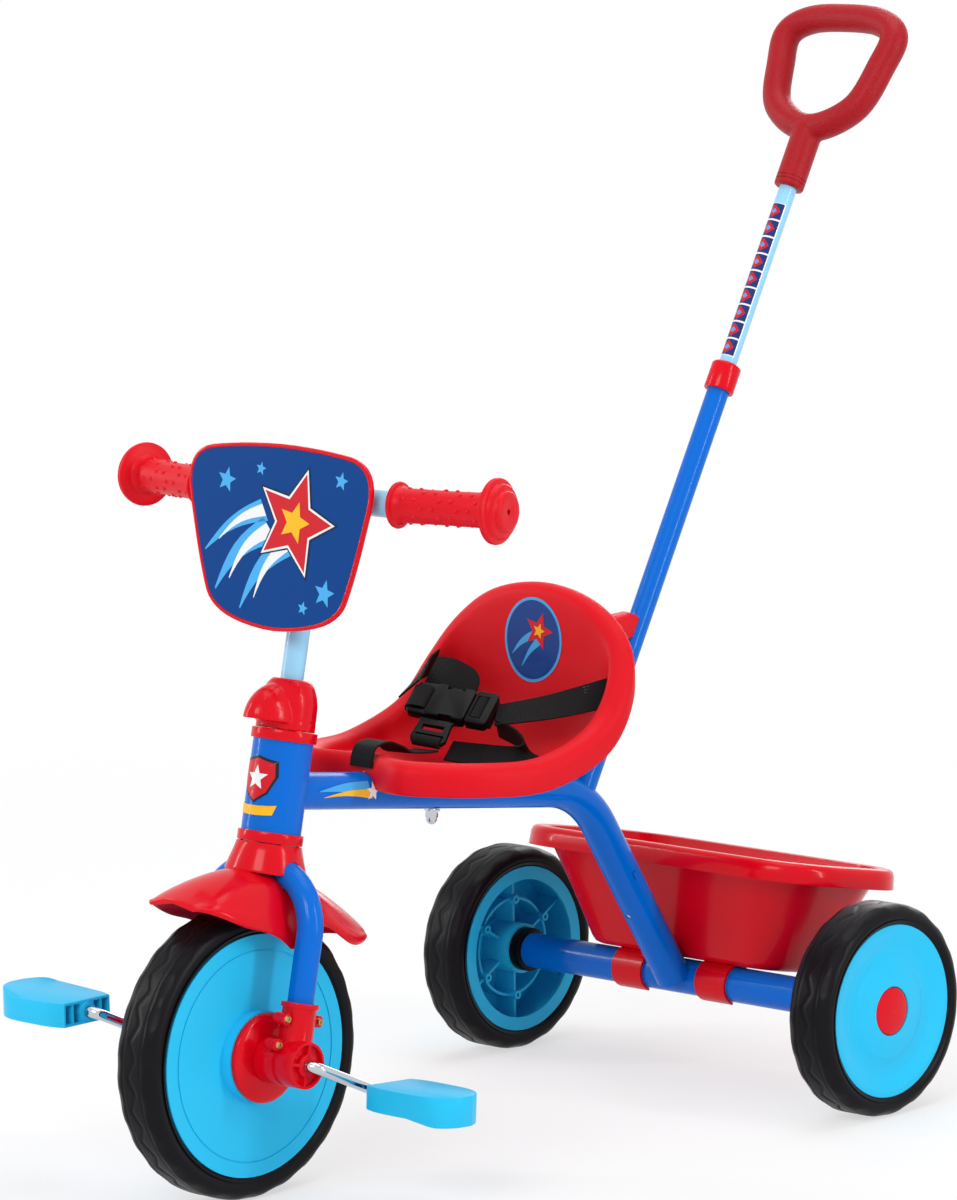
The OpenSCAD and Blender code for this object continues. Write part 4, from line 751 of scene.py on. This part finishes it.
def guard_ring(y):
    if y < 0:
        share = -y / GUARD_REACH
        ridge = GUARD_TOP - 35 * share ** 2.1
        low = GUARD_SKIRT + 18 * (1 - exp(y / 18)) + 9 * ease(2 * share - 1)
        half = GUARD_HALF * sqrt(1 - (max(share - 0.55, 0) / 0.56) ** 2)
    else:
        share = y / GUARD_TAIL
        ridge = GUARD_TOP - 42 * share ** 1.5
        low = GUARD_SKIRT + 28 * (1 - exp(-y / 12)) - 16 * ease((y - 28) / 52) + 6 * ease((y - 82) / 35)
        half = (GUARD_HALF - 8 * share) * sqrt(1 - (max(share - 0.5, 0) / 0.53) ** 2)
    low = min(low, ridge - 7)
    outer, inner = [], []
    for k in range(33):
        a = pi * k / 32
        flare = max(abs(cos(a)) - 0.92, 0) / 0.08
        w = half * (1 - 0.05 * (1 - flare)) * cos(a)
        outer.append((w, y, low + (ridge - low) * sin(a) + 1.2 * flare))
        inner.append((w * (half - GUARD_WALL) / half, y,
                      low + (ridge - low - GUARD_WALL) * sin(a) - 1.2 * flare))
    return outer + inner[::-1]


stations = [cos(pi * k / 40) for k in range(41)]
guard = extrude_rings("front_mudguard",
                      [guard_ring(c * (GUARD_REACH if c < 0 else GUARD_TAIL)) for c in stations])
subdivide(guard)
collar = spin_profile("guard_collar", [
    (151.8, 34.2), (152.6, 34.6), (154, 34.4), (170, 29.4), (176, 27.9), (176.8, 27.3), (176.8, 25.4),
    (170, 26), (154, 31.4), (151.8, 32)], 72)
join([guard, put(collar, UPRIGHT)])
put(guard, steering_frame)
leg = [(FORK_HALF, 50), (FORK_HALF, FORK_BEND_LOW)]
leg += [(FORK_HALF - FORK_BEND_R * (1 - cos(a)), FORK_BEND_LOW + FORK_BEND_R * sin(a))
        for a in (FORK_BEND * k / 8 for k in range(1, 9))]
leg.append((leg[-1][0] - 20 * sin(FORK_BEND), leg[-1][1] + 20 * cos(FORK_BEND)))
for side in (-1, 1):
    line = [(side * x, z) for x, z in leg]
    rings = [hoop(*three, FORK_ROOM, 24) for three in zip(line[:1] + line, line, line[1:] + line[-1:])]
    cut(guard, put(extrude_rings("leg_room", rings), steering_frame))
dress(guard, gloss_red, "steering_head", "red_gloss", "mudguard", angle=45)

# %% [markdown]
# ## Head cover
# A red hood covers the top of the head tube: a bell with a flat top round
# the stem, and a rounded visor lobe that grows out of its front. The bell's
# skirt has a fine groove. The lobe is half of a stretched ball, cut level at
# its foot. Bell and lobe are melted together, and the stem's room is cut.

# %% Head cover
COVER_FOOT = 272.6
bell = spin_profile("head_hood", [
    (0, 10), (0, 25), (7, 25), (7.4, 24.3), (8.2, 24.3), (8.6, 25), (22, 24.6), (30, 23), (37, 20.2),
    (41, 17.4), (42.5, 15.2), (42.5, 10)], 64)
put(bell, UPRIGHT)
deselect_all()
bpy.ops.mesh.primitive_uv_sphere_add(segments=48, ring_count=24, radius=1)
lobe = named(bpy.context.object, "visor")
lobe.scale = Vector((21, 36, 33)) * MM
bpy.ops.object.transform_apply(location=False, rotation=False, scale=True)
edit(lobe)
for normal, inner in (((0, 0, 1), True), ((0, 1, 0), False)):
    bpy.ops.mesh.select_all(action="SELECT")
    bpy.ops.mesh.bisect(plane_co=(0, 0, 0), plane_no=normal, clear_inner=inner, clear_outer=not inner,
                        use_fill=True)
bpy.ops.object.mode_set(mode="OBJECT")
put(lobe, shifted(0, -10, 6))
hood = melt(join([bell, lobe]), 0.9, 2)
cut(hood, drum("stem_room", 9.85, 60, shifted(0, 0, 20)))
put(hood, steered(0, 0, COVER_FOOT))
dress(hood, gloss_red, "steering_head", "red_gloss", "head_cover", angle=50)

# %% [markdown]
# ## Grips
# Each grip is a rubber sleeve with a thin inner flange, a broad stepped end
# and rows of paired dots for the hand. The sleeve is spun, and one small ball
# is copied along the rows, sunk so that its cap stands out as a dot.

# %% Grips
GRIP_R, BAR_HALF, BAR_SWEEP = 14.5, 103, 11.5
bar_frame = steered(0, -21.65, 468) @ turned(HEAD_LEAN, "X")
grip_profile = [
    (9, 11.15), (9, 17.5), (9.8, 19), (11.4, 19.5), (13, 19), (13.8, 16.4), (16, 15), (20, 14.5), (60, 14.2),
    (95, 14.6), (100, 15.4), (102.2, 17.5), (103, 25.6), (104, 27.2), (106, 27.5), (108, 27), (109, 25.4),
    (109.2, 23.4), (110, 22.8), (112, 22.6), (113, 21.6), (113.2, 18.6), (114, 17.4), (116.4, 16.8),
    (117.6, 15.6), (118, 13.6), (117.4, 6), (117, 2.4), (114, 2.2), (109, 2.4), (109, 11.15)]


def copied(piece):
    copy = piece.copy()
    copy.data = piece.data.copy()
    bpy.context.collection.objects.link(copy)
    return copy


def grip_dots(piece):
    deselect_all()
    bpy.ops.mesh.primitive_uv_sphere_add(segments=12, ring_count=6, radius=2.1 * MM)
    dot = named(bpy.context.object, "dot")
    copies = []
    for row in range(12):
        for pair in range(3):
            for step in (-5.5, 5.5):
                s = 28 + 35 * pair - (17.5 if row % 2 else 0) + step
                if 20 < s < 97:
                    copies.append(put(copied(dot), turned(30 * row, "X") @ shifted(s, 0, GRIP_R - 0.9)))
    bpy.data.objects.remove(dot)
    return join([piece] + copies)


for side, node in ((1, "grip_left"), (-1, "grip_right")):
    grip = grip_dots(spin_profile(node + "_rubber", grip_profile, 64))
    flip = turned(0 if side > 0 else 180, "Z")
    put(grip, bar_frame @ shifted(side * BAR_HALF, 0, 0) @ turned(BAR_SWEEP * side, "Z") @ flip)
    dress(grip, grip_red, "steering_head", "red_gloss", node, angle=40)

# %% [markdown]
# ## Webbing
# The harness is black polyester webbing with close cross ribs. Each strap is
# a grid whose points are laid along its route and given thickness with
# Solidify. The ribs follow the strap, so they come from its own UV map.

# %% Webbing finish
rib_group, given, hand_out = group_with(
    "webbing_ribs",
    (("Ribs", NUMBER, 90), ("Cords", NUMBER, 14), ("Base", COLOUR, (0.01, 0.01, 0.01, 1))),
    (("Color", COLOUR), ("Height", NUMBER), ("Roughness", NUMBER)))
split = add_node(rib_group, "SeparateXYZ", {0: add_node(rib_group, "TexCoord").outputs["UV"]}).outputs


def wave(source, count):
    """A row of round ridges, count of them over the strap."""
    angle = calc(rib_group, "MULTIPLY", calc(rib_group, "MULTIPLY", source, count), 2 * pi)
    return calc(rib_group, "SINE", angle)


ribs, cords = wave(split["Y"], given["Ribs"]), wave(split["X"], given["Cords"])
weave = calc(rib_group, "MULTIPLY_ADD", cords, 0.45, ribs)
height = add_node(rib_group, "MapRange", {"Value": weave, "From Min": -1.45, "From Max": 1.45}).outputs[0]
# The colour follows the rib height: darker in the grooves as painted shade, lighter on the raised ribs as
# painted highlight.
painted_rib_light = calc(rib_group, "MULTIPLY_ADD", height, 1.6, 0.4)
rib_colour_with_painted_shade = add_node(rib_group, "VectorMath", {0: given["Base"], "Scale": painted_rib_light}, operation="SCALE")
dull = calc(rib_group, "MULTIPLY_ADD", height, -0.2, 0.72)
hand_out({"Color": rib_colour_with_painted_shade.outputs[0], "Height": height, "Roughness": dull})
print("rib group has", len(rib_group.nodes), "nodes")


def webbing(name, ribs_on_strap):
    material, tree = new_material(name)
    weave = add_node(tree, "Group", {"Ribs": ribs_on_strap, "Base": linear(22, 21, 22)},
                     node_tree=rib_group).outputs
    relief = add_node(tree, "Bump", {"Strength": 0.9, "Distance": 0.0005, "Height": weave["Height"]})
    cloth = add_node(tree, "BsdfPrincipled", {
        "Base Color": weave["Color"], "Roughness": weave["Roughness"], "Normal": relief.outputs[0],
        "Sheen Weight": 0.015, "Specular IOR Level": 0.08})
    add_node(tree, "OutputMaterial", {"Surface": cloth.outputs[0]})
    return material


# %% Straps
WEB_W, WEB_T, RIB_GAP, ACROSS = 25, 1.6, 1.25, 8


def harness_point(p):
    """A place in the seat, in millimetres: x, distance behind the seat bolt, height above the pan."""
    return Vector((p[0], SEAT_Y + p[1] - Y_MID, pan_z(SEAT_Y + p[1]) + p[2]))


def strap_across(tangent, roll):
    """The direction across a strap that runs along a tangent, rolled by degrees."""
    level = Vector((0, 0, 1)).cross(tangent).normalized()
    return level * cos(radians(roll)) + tangent.cross(level) * sin(radians(roll))


def web_strip(name, places, wides, width, ends=None):
    """Lays a grid along places, each with its direction across; returns it with its cut length."""
    deselect_all()
    bpy.ops.mesh.primitive_grid_add(x_subdivisions=ACROSS, y_subdivisions=len(places) - 1, size=1)
    piece = named(bpy.context.object, name)
    mesh = edit(piece)
    lay(mesh.verts, [place + wide * width * share * (i / ACROSS - 0.5)
                     for place, wide, share in zip(places, wides, ends or [1] * len(places))
                     for i in range(ACROSS + 1)])
    bmesh.update_edit_mesh(piece.data)
    bpy.ops.object.mode_set(mode="OBJECT")
    modify(piece, "SOLIDIFY", thickness=WEB_T * MM, offset=0)
    return piece, sum((b - a).length for a, b in zip(places, places[1:]))


def strap(name, path, width=WEB_W, round_end=False):
    """A strap along a route of (x, y, height, roll) points in the seat."""
    route = open_curve(path, 10)
    places = [harness_point(p) for p in route]
    wides, ends = [], []
    for j, place in enumerate(places):
        tangent = (places[min(j + 1, len(places) - 1)] - places[max(j - 1, 0)]).normalized()
        wides.append(strap_across(tangent, route[j][3]))
        to_end = (places[-1] - place).length / (width / 2) if round_end else 1
        ends.append(sqrt(max(1 - max(1 - to_end, 0) ** 2, 0.05)))
    return web_strip(name, places, wides, width, ends)


def declare(piece, name, width, length, held, rests, *replaced, tab=False):
    dress(piece, webbing(name + "_weave", round(length / RIB_GAP)), "frame", "webbing", *replaced, angle=60)


left_path = [(0.99 * SEAT_HALF, 115, 76, -66), (0.82 * SEAT_HALF, 95, 67, -58), (58, 77, 57, -46),
             (19.8, 59.2, 47, -36)]
right_path = [(-0.97 * SEAT_HALF, 110, 83, 66), (-0.88 * SEAT_HALF, 86, 77, 60), (-74, 58, 70, 48),
              (-60, 34, 62, 40)]
LIP_Y = SEAT_NOTCH - SEAT_FRONT
ROLL_Y = LIP_Y - 2 * ROLL_R
crotch_path = [(-13, 6, 13, 0), (-10, -12, 12, 0), (-5, -36, 13, 0), (-1, LIP_Y + 8, 19, 0),
               (0, LIP_Y - 6, 22.5, 0), (0, LIP_Y - ROLL_R - 9, 18, 0), (0, ROLL_Y - 2.4, 8.4, 0),
               (0, ROLL_Y - 3.9, 0, 0)]
for node, path in (("strap_left", left_path), ("strap_right", right_path), ("strap_crotch", crotch_path)):
    piece, length = strap(node + "_web", path)
    declare(piece, node, WEB_W, length, "laid", ["seat_bucket"], node)

# %% [markdown]
# The near strap is sewn down near its outer end with rows of short stitches.
# The loose ends show too: the far strap ends in a rounded tab behind the
# buckle, and the near strap's spare length lies folded on the pan.

# %% Stitching
STITCH = ((-1, -0.25), (1, -0.25), (1, 0.25), (-1, 0.25))
end, before = harness_point(left_path[0]), harness_point(left_path[1])
inward = (before - end).normalized()
wide = strap_across(inward, -63)
seam = Matrix.Translation(end * MM) @ Matrix((inward, wide, inward.cross(wide))).transposed().to_4x4()
stitches = []
for row in range(4):
    for k in range(9):
        stitch = extrude_rings("stitch", [[(x, y, z) for x, y in STITCH] for z in (-1.05, 1.05)])
        stitches.append(put(stitch, seam @ shifted(11 + 3.4 * row, 2.5 * (k - 4), 0)))
thread = grained("stitch_thread", linear(92, 90, 88), 0.7, 900, 0.1, shine=0.1)
dress(named(join(stitches), "strap_stitches"), thread, "frame", "webbing", angle=30)

# %% Loose ends
TAB_W = 36
tab_path = [(-62, 62, 75, 50), (-44, 62, 75, 52), (-26, 62, 70, 54), (-8, 62, 63, 56)]
spare_path = [(20, 60, 36, -50), (42, 64, 28, -52), (54, 62, 18, -50), (44, 52, 12, -44),
              (14, 40, 12, -36), (-10, 30, 13, -30)]
piece, length = strap("strap_tab", tab_path, TAB_W, True)
declare(piece, "strap_tab", TAB_W, length, "laid", ["strap_right_web"], tab=True)
piece, length = strap("strap_spare", spare_path)
declare(piece, "strap_spare", WEB_W, length, "folded", ["seat_bucket"])

# %% [markdown]
# ## Buckle
# The buckle is a flat box with a release button in a notch, a frame at each
# end for a side strap, and a third frame at its front for the lower strap.
# All start as outlines that are extruded and bevelled, in a frame that leans
# as the buckle does. Short strips of webbing fill the three frames.

# %% Buckle
buckle_frame = (Matrix.Translation(harness_point((-12, 46, 51)) * MM)
                @ turned(22, "Z") @ turned(7.5, "Y") @ turned(35, "X"))


def slab(name, outline, low, high, bevel):
    """A plate with a given outline, extruded from low to high and bevelled."""
    piece = extrude_rings(name, [[(x, y, z) for x, y in outline] for z in (low, high)])
    return modify(piece, "BEVEL", width=bevel * MM, segments=2, limit_method="ANGLE", angle_limit=radians(40))


def window(piece, x0, y0, x1, y1, depth=9):
    """Cuts a block out of a piece."""
    outline = ((x0, y0), (x1, y0), (x1, y1), (x0, y1))
    return cut(piece, extrude_rings("room", [[(x, y, z) for x, y in outline] for z in (-depth, depth)]))


tail = slab("tail", both_sides([(-43, 14.5), (-41, 18), (-23, 19)]), -4, 4, 1)
window(tail, -39.5, -13.4, -30.5, 13.4)
box_half = [(-26, 15), (-24, 18.4), (-20, 19), (6, 19), (10, 18.2), (11, 15)]
box = slab("buckle_socket_shell", both_sides(box_half), -5.4, 5.4, 1.4)
window(box, -15, 13.5, 1, 24)
window(box, -12, -24, 0, -16.5)
button_line = [(-13.4, 9), (-0.6, 9), (-0.6, 15.4), (-3, 17.2), (-11, 17.2), (-13.4, 15.4)]
button = slab("button", button_line, -4.2, 4.2, 0.8)
nubs = [slab("nub", [(x - 1, 16.6), (x + 1, 16.6), (x + 0.7, 18.6), (x - 0.7, 18.6)], -2.6, 3.4, 0.4)
        for x in (-9.4, -4.6)]
join([box, tail, button] + nubs)
plug_half = [(11.6, 16), (13, 19), (29, 19), (31.4, 17), (32, 14)]
plug = slab("buckle_plug_shell", both_sides(plug_half), -4.6, 4.6, 1)
window(plug, 14.4, -13.4, 25, 13.4)
tongue_line = [(-29, -20.5), (-27, -24), (-28.6, -44), (-26.4, -48.2), (2.4, -48.2), (4.6, -44), (3, -24),
               (5, -20.5)]
tongue = slab("strap_slider_frame", tongue_line, -2, 2, 0.8)
window(tongue, -22, -34.6, -2, -27.8)
window(tongue, -25.2, -43.2, 1.2, -38.8)
for piece, node in ((box, "buckle_socket"), (plug, "buckle_plug"), (tongue, "strap_slider")):
    put(piece, buckle_frame)
    dress(piece, black_plastic, "frame", "black_plastic", node, angle=35)

# %% Webbing in the buckle
LOOPS = (
    ("plug_loop", "x", 0, "buckle_plug_shell",
     [(13.4, -4), (15, 2.6), (19.6, 4.4), (23.6, 3), (25, -4), (29, -6.2), (33, -6)]),
    ("tail_loop", "x", 0, "buckle_socket_shell",
     [(-27, 4.6), (-29, 5.6), (-34, 5.8), (-40, 5.4), (-44.4, 3), (-44.8, -2.4), (-41, -5.4), (-33, -5.6)]),
    ("tongue_loop", "y", -12, "strap_slider_frame",
     [(-36, -5), (-40.4, -1.6), (-41.4, 1.4), (-43.6, 3.4), (-46.6, 3.5), (-49.4, 1.8), (-49.8, -1.6),
      (-47, -4.4)]),
)
for name, axis, offset, carrier, line in LOOPS:
    local = [(a, offset, z) if axis == "x" else (offset, a, z) for a, z in open_curve(line, 4)]
    places = [(buckle_frame @ (Vector(v) * MM)) / MM for v in local]
    wide = buckle_frame.to_3x3() @ Vector((0, 1, 0) if axis == "x" else (1, 0, 0))
    piece, length = web_strip(name, places, [wide] * len(places), WEB_W)
    declare(piece, name, WEB_W, length, "laid", [carrier])

# %% [markdown]
# ## Stickers
# The plate, the seat and two tubes carry printed vinyl. We draw our own plain
# motifs: stars, streaks, ovals and a shield. On a curved face each outline is
# extruded inwards to a fine web, dropped onto what carries it with a
# Shrinkwrap modifier, and given the thickness of vinyl.

# %% Sticker tools
VINYL_T = 0.1
INKS = {"red": (205, 18, 34), "white": (236, 238, 240), "light_blue": (70, 170, 232),
        "navy": (14, 62, 140), "yellow": (246, 186, 30), "black": (22, 24, 34)}
INK = {ink: grained("vinyl_" + ink, linear(*colour), 0.3, 300, 0.03, coat=0.08, shine=0.2)
       for ink, colour in INKS.items()}
print("vinyl in", len(INK), "colours")


def star(cx, cy, outer, inner, turn=0.0):
    return [(cx + r * sin(a), cy + r * cos(a)) for k in range(10)
            for r, a in [((outer, inner)[k % 2], turn + pi * k / 5)]]


def oval(rx, ry, count=48):
    return [(rx * cos(2 * pi * k / count), ry * sin(2 * pi * k / count)) for k in range(count)]


def streak(x0, y0, x1, y1, width, bow=0.0):
    """A tapered stroke from a point to a broad end, bowed to one side."""
    dx, dy = x1 - x0, y1 - y0
    size = hypot(dx, dy)
    left, right = [], []
    for k in range(9):
        t = k / 8
        b = bow * sin(pi * t)
        px, py = x0 + dx * t - dy / size * b, y0 + dy * t + dx / size * b
        w = width / 2 * (0.06 + 0.94 * t)
        left.append((px - dy / size * w, py + dx / size * w))
        right.append((px + dy / size * w, py - dx / size * w))
    return left + right[::-1]


def finer(outline, gap):
    """Adds points along an outline's sides, so that it can bend over a curve."""
    points = []
    for (ax, ay), (bx, by) in zip(outline, outline[1:] + outline[:1]):
        steps = max(1, int(hypot(bx - ax, by - ay) / gap))
        points += [(ax + (bx - ax) * k / steps, ay + (by - ay) * k / steps) for k in range(steps)]
    return points


def vinyl(outline, ink, lift, place, wrap, gap=3.0):
    """One printed shape; wrap is (what carries it, axis) for a curved face."""
    if wrap:
        outline = finer(outline, gap)
        cx = sum(x for x, _ in outline) / len(outline)
        cy = sum(y for _, y in outline) / len(outline)
        rings = [[(cx + (x - cx) * s, cy + (y - cy) * s, 0) for x, y in outline]
                 for s in (1, 0.8, 0.6, 0.4, 0.2, 0.05)]
        piece = put(extrude_rings("vinyl", rings, caps=(False, True)), place)
        target, axis = wrap
        modify(piece, "SHRINKWRAP", target=target, wrap_method="PROJECT", wrap_mode="ABOVE_SURFACE",
               use_project_x=axis == "x", use_project_y=axis == "y", use_negative_direction=True,
               use_positive_direction=True, offset=lift * MM)
        modify(piece, "SOLIDIFY", thickness=VINYL_T * MM, offset=0)
    else:
        rings = [[(x, y, z) for x, y in outline] for z in (lift, lift + VINYL_T)]
        piece = put(extrude_rings("vinyl", rings), place)
    piece.data.materials.append(INK[ink])
    return piece


def sticker(name, body, place, wrap, rows):
    """Prints rows of (outline, ink, lift) and sometimes a finer gap, and joins them into one piece."""
    shapes = [vinyl(outline, ink, lift, place, wrap, *gap) for outline, ink, lift, *gap in rows]
    piece = named(join(shapes), name)
    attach(piece, body)
    print(name, len(shapes), "shapes,", len(piece.data.vertices), "points on", body)


# %% Plate picture
FACE, LAYER = 3.72, 0.12
rows = []
for x0, y0, x1, y1, width, bow in (
        (-70, 30, -8, 84, 26, 9), (-40, 16, 10, 72, 22, 7), (-84, 62, -16, 100, 20, 6)):
    rows.append((streak(x0, y0, x1, y1, width, bow), "light_blue", FACE))
    rows.append((streak(x0 + 16, y0 + 10, x1, y1, width * 0.55, bow * 0.8), "white", FACE + LAYER))
for level, (outer, inner, ink) in enumerate(
        ((50, 24, "black"), (47, 22.4, "white"), (43, 20, "red"), (18, 8.4, "yellow")), 2):
    rows.append((star(20, 92, outer, inner, 0.3), ink, FACE + LAYER * level))
rows += [(star(cx, cy, size, size * 0.44, 0.2), "light_blue", FACE)
         for cx, cy, size in ((-62, 122, 11), (72, 130, 8), (58, 36, 12), (-22, 134, 6), (34, 22, 6))]
sticker("plate_picture", "steering_head", steered(0, -27, 353) @ turned(90 + 7.3, "X"), None, rows)

# %% Seat sticker
sticker("seat_sticker", "frame", shifted(0, -20, 425) @ turned(90, "X"), (seat, "y"), (
    (oval(33.5, 37), "light_blue", 0.3), (oval(31, 34.5), "navy", 0.5),
    (streak(-24, -14, 2, 4, 9, 3), "light_blue", 0.7), (streak(-12, -24, 8, 0, 8, 2), "light_blue", 0.7),
    (star(7, 8, 17, 7.6, 0.3), "red", 0.9, 2.0), (star(7, 8, 7, 3.2, 0.3), "yellow", 1.1, 2.0)))

# %% Head tube badge and main tube label
shield = [(0, 15), (17, 10), (18, -3), (12, -17), (0, -25), (-12, -17), (-18, -3), (-17, 10)]
sticker("head_badge", "frame", steered(0, -60, 226) @ turned(90, "X"), (nodes["head_tube"], "y"), (
    (shield, "black", 0.3), ([(x * 0.88, -5 + (y + 5) * 0.88) for x, y in shield], "red", 0.5),
    (star(0, -4, 11, 4.9), "white", 0.7, 2.0),
    ([(-19, -27), (19, -27), (17, -35), (-17, -35)], "yellow", 0.6)))
label_place = (shifted(60, 0, 0) @ Matrix.Translation(side_place(-160, 327)) @ turned(-MAIN_SLOPE, "X")
               @ turned(90, "Z") @ turned(90, "X"))
sticker("main_tube_label", "frame", label_place, (nodes["main_tube"], "x"), (
    (streak(-34, 1, 26, 3, 13, 2), "light_blue", 0.3), (streak(-28, -4, 30, -1, 8, 2), "yellow", 0.5),
    (star(30, 1, 8, 3.6), "white", 0.7, 2.0)))

# %% [markdown]
# ## Pole band
# A printed label runs along the front of the pale upper pole: dark squares
# with a red diamond in each, parted and edged by white lines. It never leaves
# the pole, so it is painted in the pole's own material. The pattern needs the
# distance along the pole and the angle round it, from Object coordinates.

# %% Pole band
BAND_LOW, BAND_HIGH, CELL = 0.416, 0.566, 0.0167
lean = radians(POLE_LEAN)
POLE_DIR, POLE_FACE = Vector((0, sin(lean), cos(lean))), Vector((0, -cos(lean), sin(lean)))


def pole_print(tree):
    spot = add_node(tree, "TexCoord").outputs["Object"]

    def maths(operation, *values):
        return calc(tree, operation, *values)

    def reach(direction):
        dot = add_node(tree, "VectorMath", {0: spot, 1: direction}, operation="DOT_PRODUCT")
        return maths("SUBTRACT", dot.outputs["Value"], CORNER.dot(direction))

    def from_middle(cells):
        return maths("ABSOLUTE", maths("SUBTRACT", maths("FRACT", cells), 0.5))

    def mixed(mask, first, second):
        mix = add_node(tree, "Mix", {"Factor": mask, "A": first, "B": second}, data_type="RGBA")
        return mix.outputs["Result"]

    along = reach(POLE_DIR)
    angle = maths("ARCTAN2", reach(Vector((1, 0, 0))), reach(POLE_FACE))
    v = from_middle(maths("DIVIDE", maths("SUBTRACT", along, BAND_LOW), CELL))
    u = from_middle(maths("MULTIPLY_ADD", angle, 3 / (2 * pi), 3.5))
    diamond, aside = maths("ADD", u, v), maths("ABSOLUTE", angle)
    inside = maths("MULTIPLY", maths("GREATER_THAN", along, BAND_LOW), maths("LESS_THAN", along, BAND_HIGH))
    inside = maths("MULTIPLY", inside, maths("LESS_THAN", aside, radians(68)))
    lines = maths("MAXIMUM", maths("GREATER_THAN", v, 0.45), maths("GREATER_THAN", aside, radians(61)))
    picture = mixed(maths("LESS_THAN", diamond, 0.38), linear(20, 44, 110), linear(196, 22, 36))
    picture = mixed(maths("LESS_THAN", diamond, 0.16), picture, linear(70, 160, 226))
    return mixed(inside, PALE_BLUE, mixed(lines, picture, linear(232, 236, 240)))


paint(nodes["pole_upper"], grained("pale_pole_with_band", PALE_BLUE, 0.24, 140, 0.03, wander=0.06, coat=0.2,
                                   shine=0.2, drawn=pole_print))
print("pole band from", BAND_LOW, "to", BAND_HIGH)

# %% [markdown]
# ## Pedals
# A pedal is a closed tread with a rounded nose. Its under side drops to a toe
# lip at the outer end, and its inner end is open, with ribs on both sides of
# the spindle tunnel. The plan is extruded upwards through six rings, whose
# ends are small chamfers, and the openings are cut with blocks.

# %% Pedals
PEDAL_L, PEDAL_W, PEDAL_T, PEDAL_LIP = 88, 62, 21, 5
pedal_plan = both_sides(open_curve([
    (0, 0.42 * PEDAL_W), (18, 0.5 * PEDAL_W), (PEDAL_L - 32, 0.5 * PEDAL_W), (PEDAL_L - 16, 0.44 * PEDAL_W),
    (PEDAL_L - 6, 0.32 * PEDAL_W), (PEDAL_L, 0.13 * PEDAL_W)], 5))


def pedal_ring(inset, z, lip):
    return [(PEDAL_L / 2 + (x - PEDAL_L / 2) * (1 - 2 * inset / PEDAL_L), y * (1 - 2 * inset / PEDAL_W),
             z - lip * ease((x - (PEDAL_L - 36)) / 28)) for x, y in pedal_plan]


def new_pedal(name):
    half = PEDAL_T / 2
    piece = extrude_rings(name, [pedal_ring(*row) for row in (
        (1.6, -half, PEDAL_LIP), (0.5, -half + 0.4, PEDAL_LIP), (0, -half + 1.5, PEDAL_LIP),
        (0, half - 1.2, 0), (0.4, half - 0.3, 0), (1.2, half, 0))])
    for side in (-1, 1):
        for low, high, deep in ((7.6, 15.2, 40), (17, 24.4, 34)):
            near, far = sorted((side * low, side * high))
            window(piece, -4, near, deep, far, half - 2.4)
    tunnel = turned(90, "Y")
    cut(piece, drum("boss", 8.2, 22, shifted(9, 0, 0) @ tunnel), "UNION")
    cut(piece, drum("bore", 5, 150, tunnel))
    return cut(piece, drum("nut_room", 8.75, 8, shifted(72, 0, 0) @ tunnel))


PEDAL_IN = Vector((111.316 * MM, 0, 0))
left_place = Matrix.Translation(side_place(-216.711, 91.0727) + PEDAL_IN) @ turned(-4, "X")
right_place = Matrix.Translation(side_place(-348.489, 153.927) - PEDAL_IN) @ turned(180, "Y")
for side, place in (("left", left_place), ("right", right_place)):
    node = "pedal_" + side
    dress(put(new_pedal(node + "_tread"), place), sky_plastic, side + "_pedal", "sky_blue", node, angle=38)

# %% [markdown]
# ## Softened mouldings
# Injection moulded parts have no knife edges. The solids whose form is right
# are copied, their loose triangles are merged, flat faces are dissolved back
# into one, and a small bevel takes the edge off so that it catches light.

# %% Softened mouldings


def soften(node, material, slot, width):
    body = nodes[node]["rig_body"]
    piece = named(copied(nodes[node]), node + "_soft")
    for key in list(piece.keys()):
        del piece[key]
    piece.parent = None
    edit(piece)
    bpy.ops.mesh.remove_doubles(threshold=2e-6)
    bpy.ops.mesh.dissolve_limited(angle_limit=radians(0.5))
    bpy.ops.object.mode_set(mode="OBJECT")
    modify(piece, "BEVEL", width=width * MM, segments=2, limit_method="ANGLE", angle_limit=radians(35),
           harden_normals=False)
    return dress(piece, material, body, slot, node, angle=30)


SOFT = (
    (("fork_end_left_outer", "fork_end_left_inner", "fork_end_right_outer", "fork_end_right_inner"),
     gloss_red, "red_gloss", 0.5),
    (("upper_head_ring", "lower_head_ring", "pole_collar", "hub_flange_left", "hub_flange_right"),
     gloss_red, "red_gloss", 0.8),
    (("rear_left_cap", "rear_right_cap"), gloss_red, "red_gloss", 0.5),
    (("axle_bush_left", "axle_bush_right"), black_plastic, "black_plastic", 1.0),
    (("seat_clip",), seat_red, "seat_red", 1.5),
    (("plate_rim",), plate_red, "red_gloss", 0.6),
)
for names, material, slot, width in SOFT:
    for node in names:
        soften(node, material, slot, width)
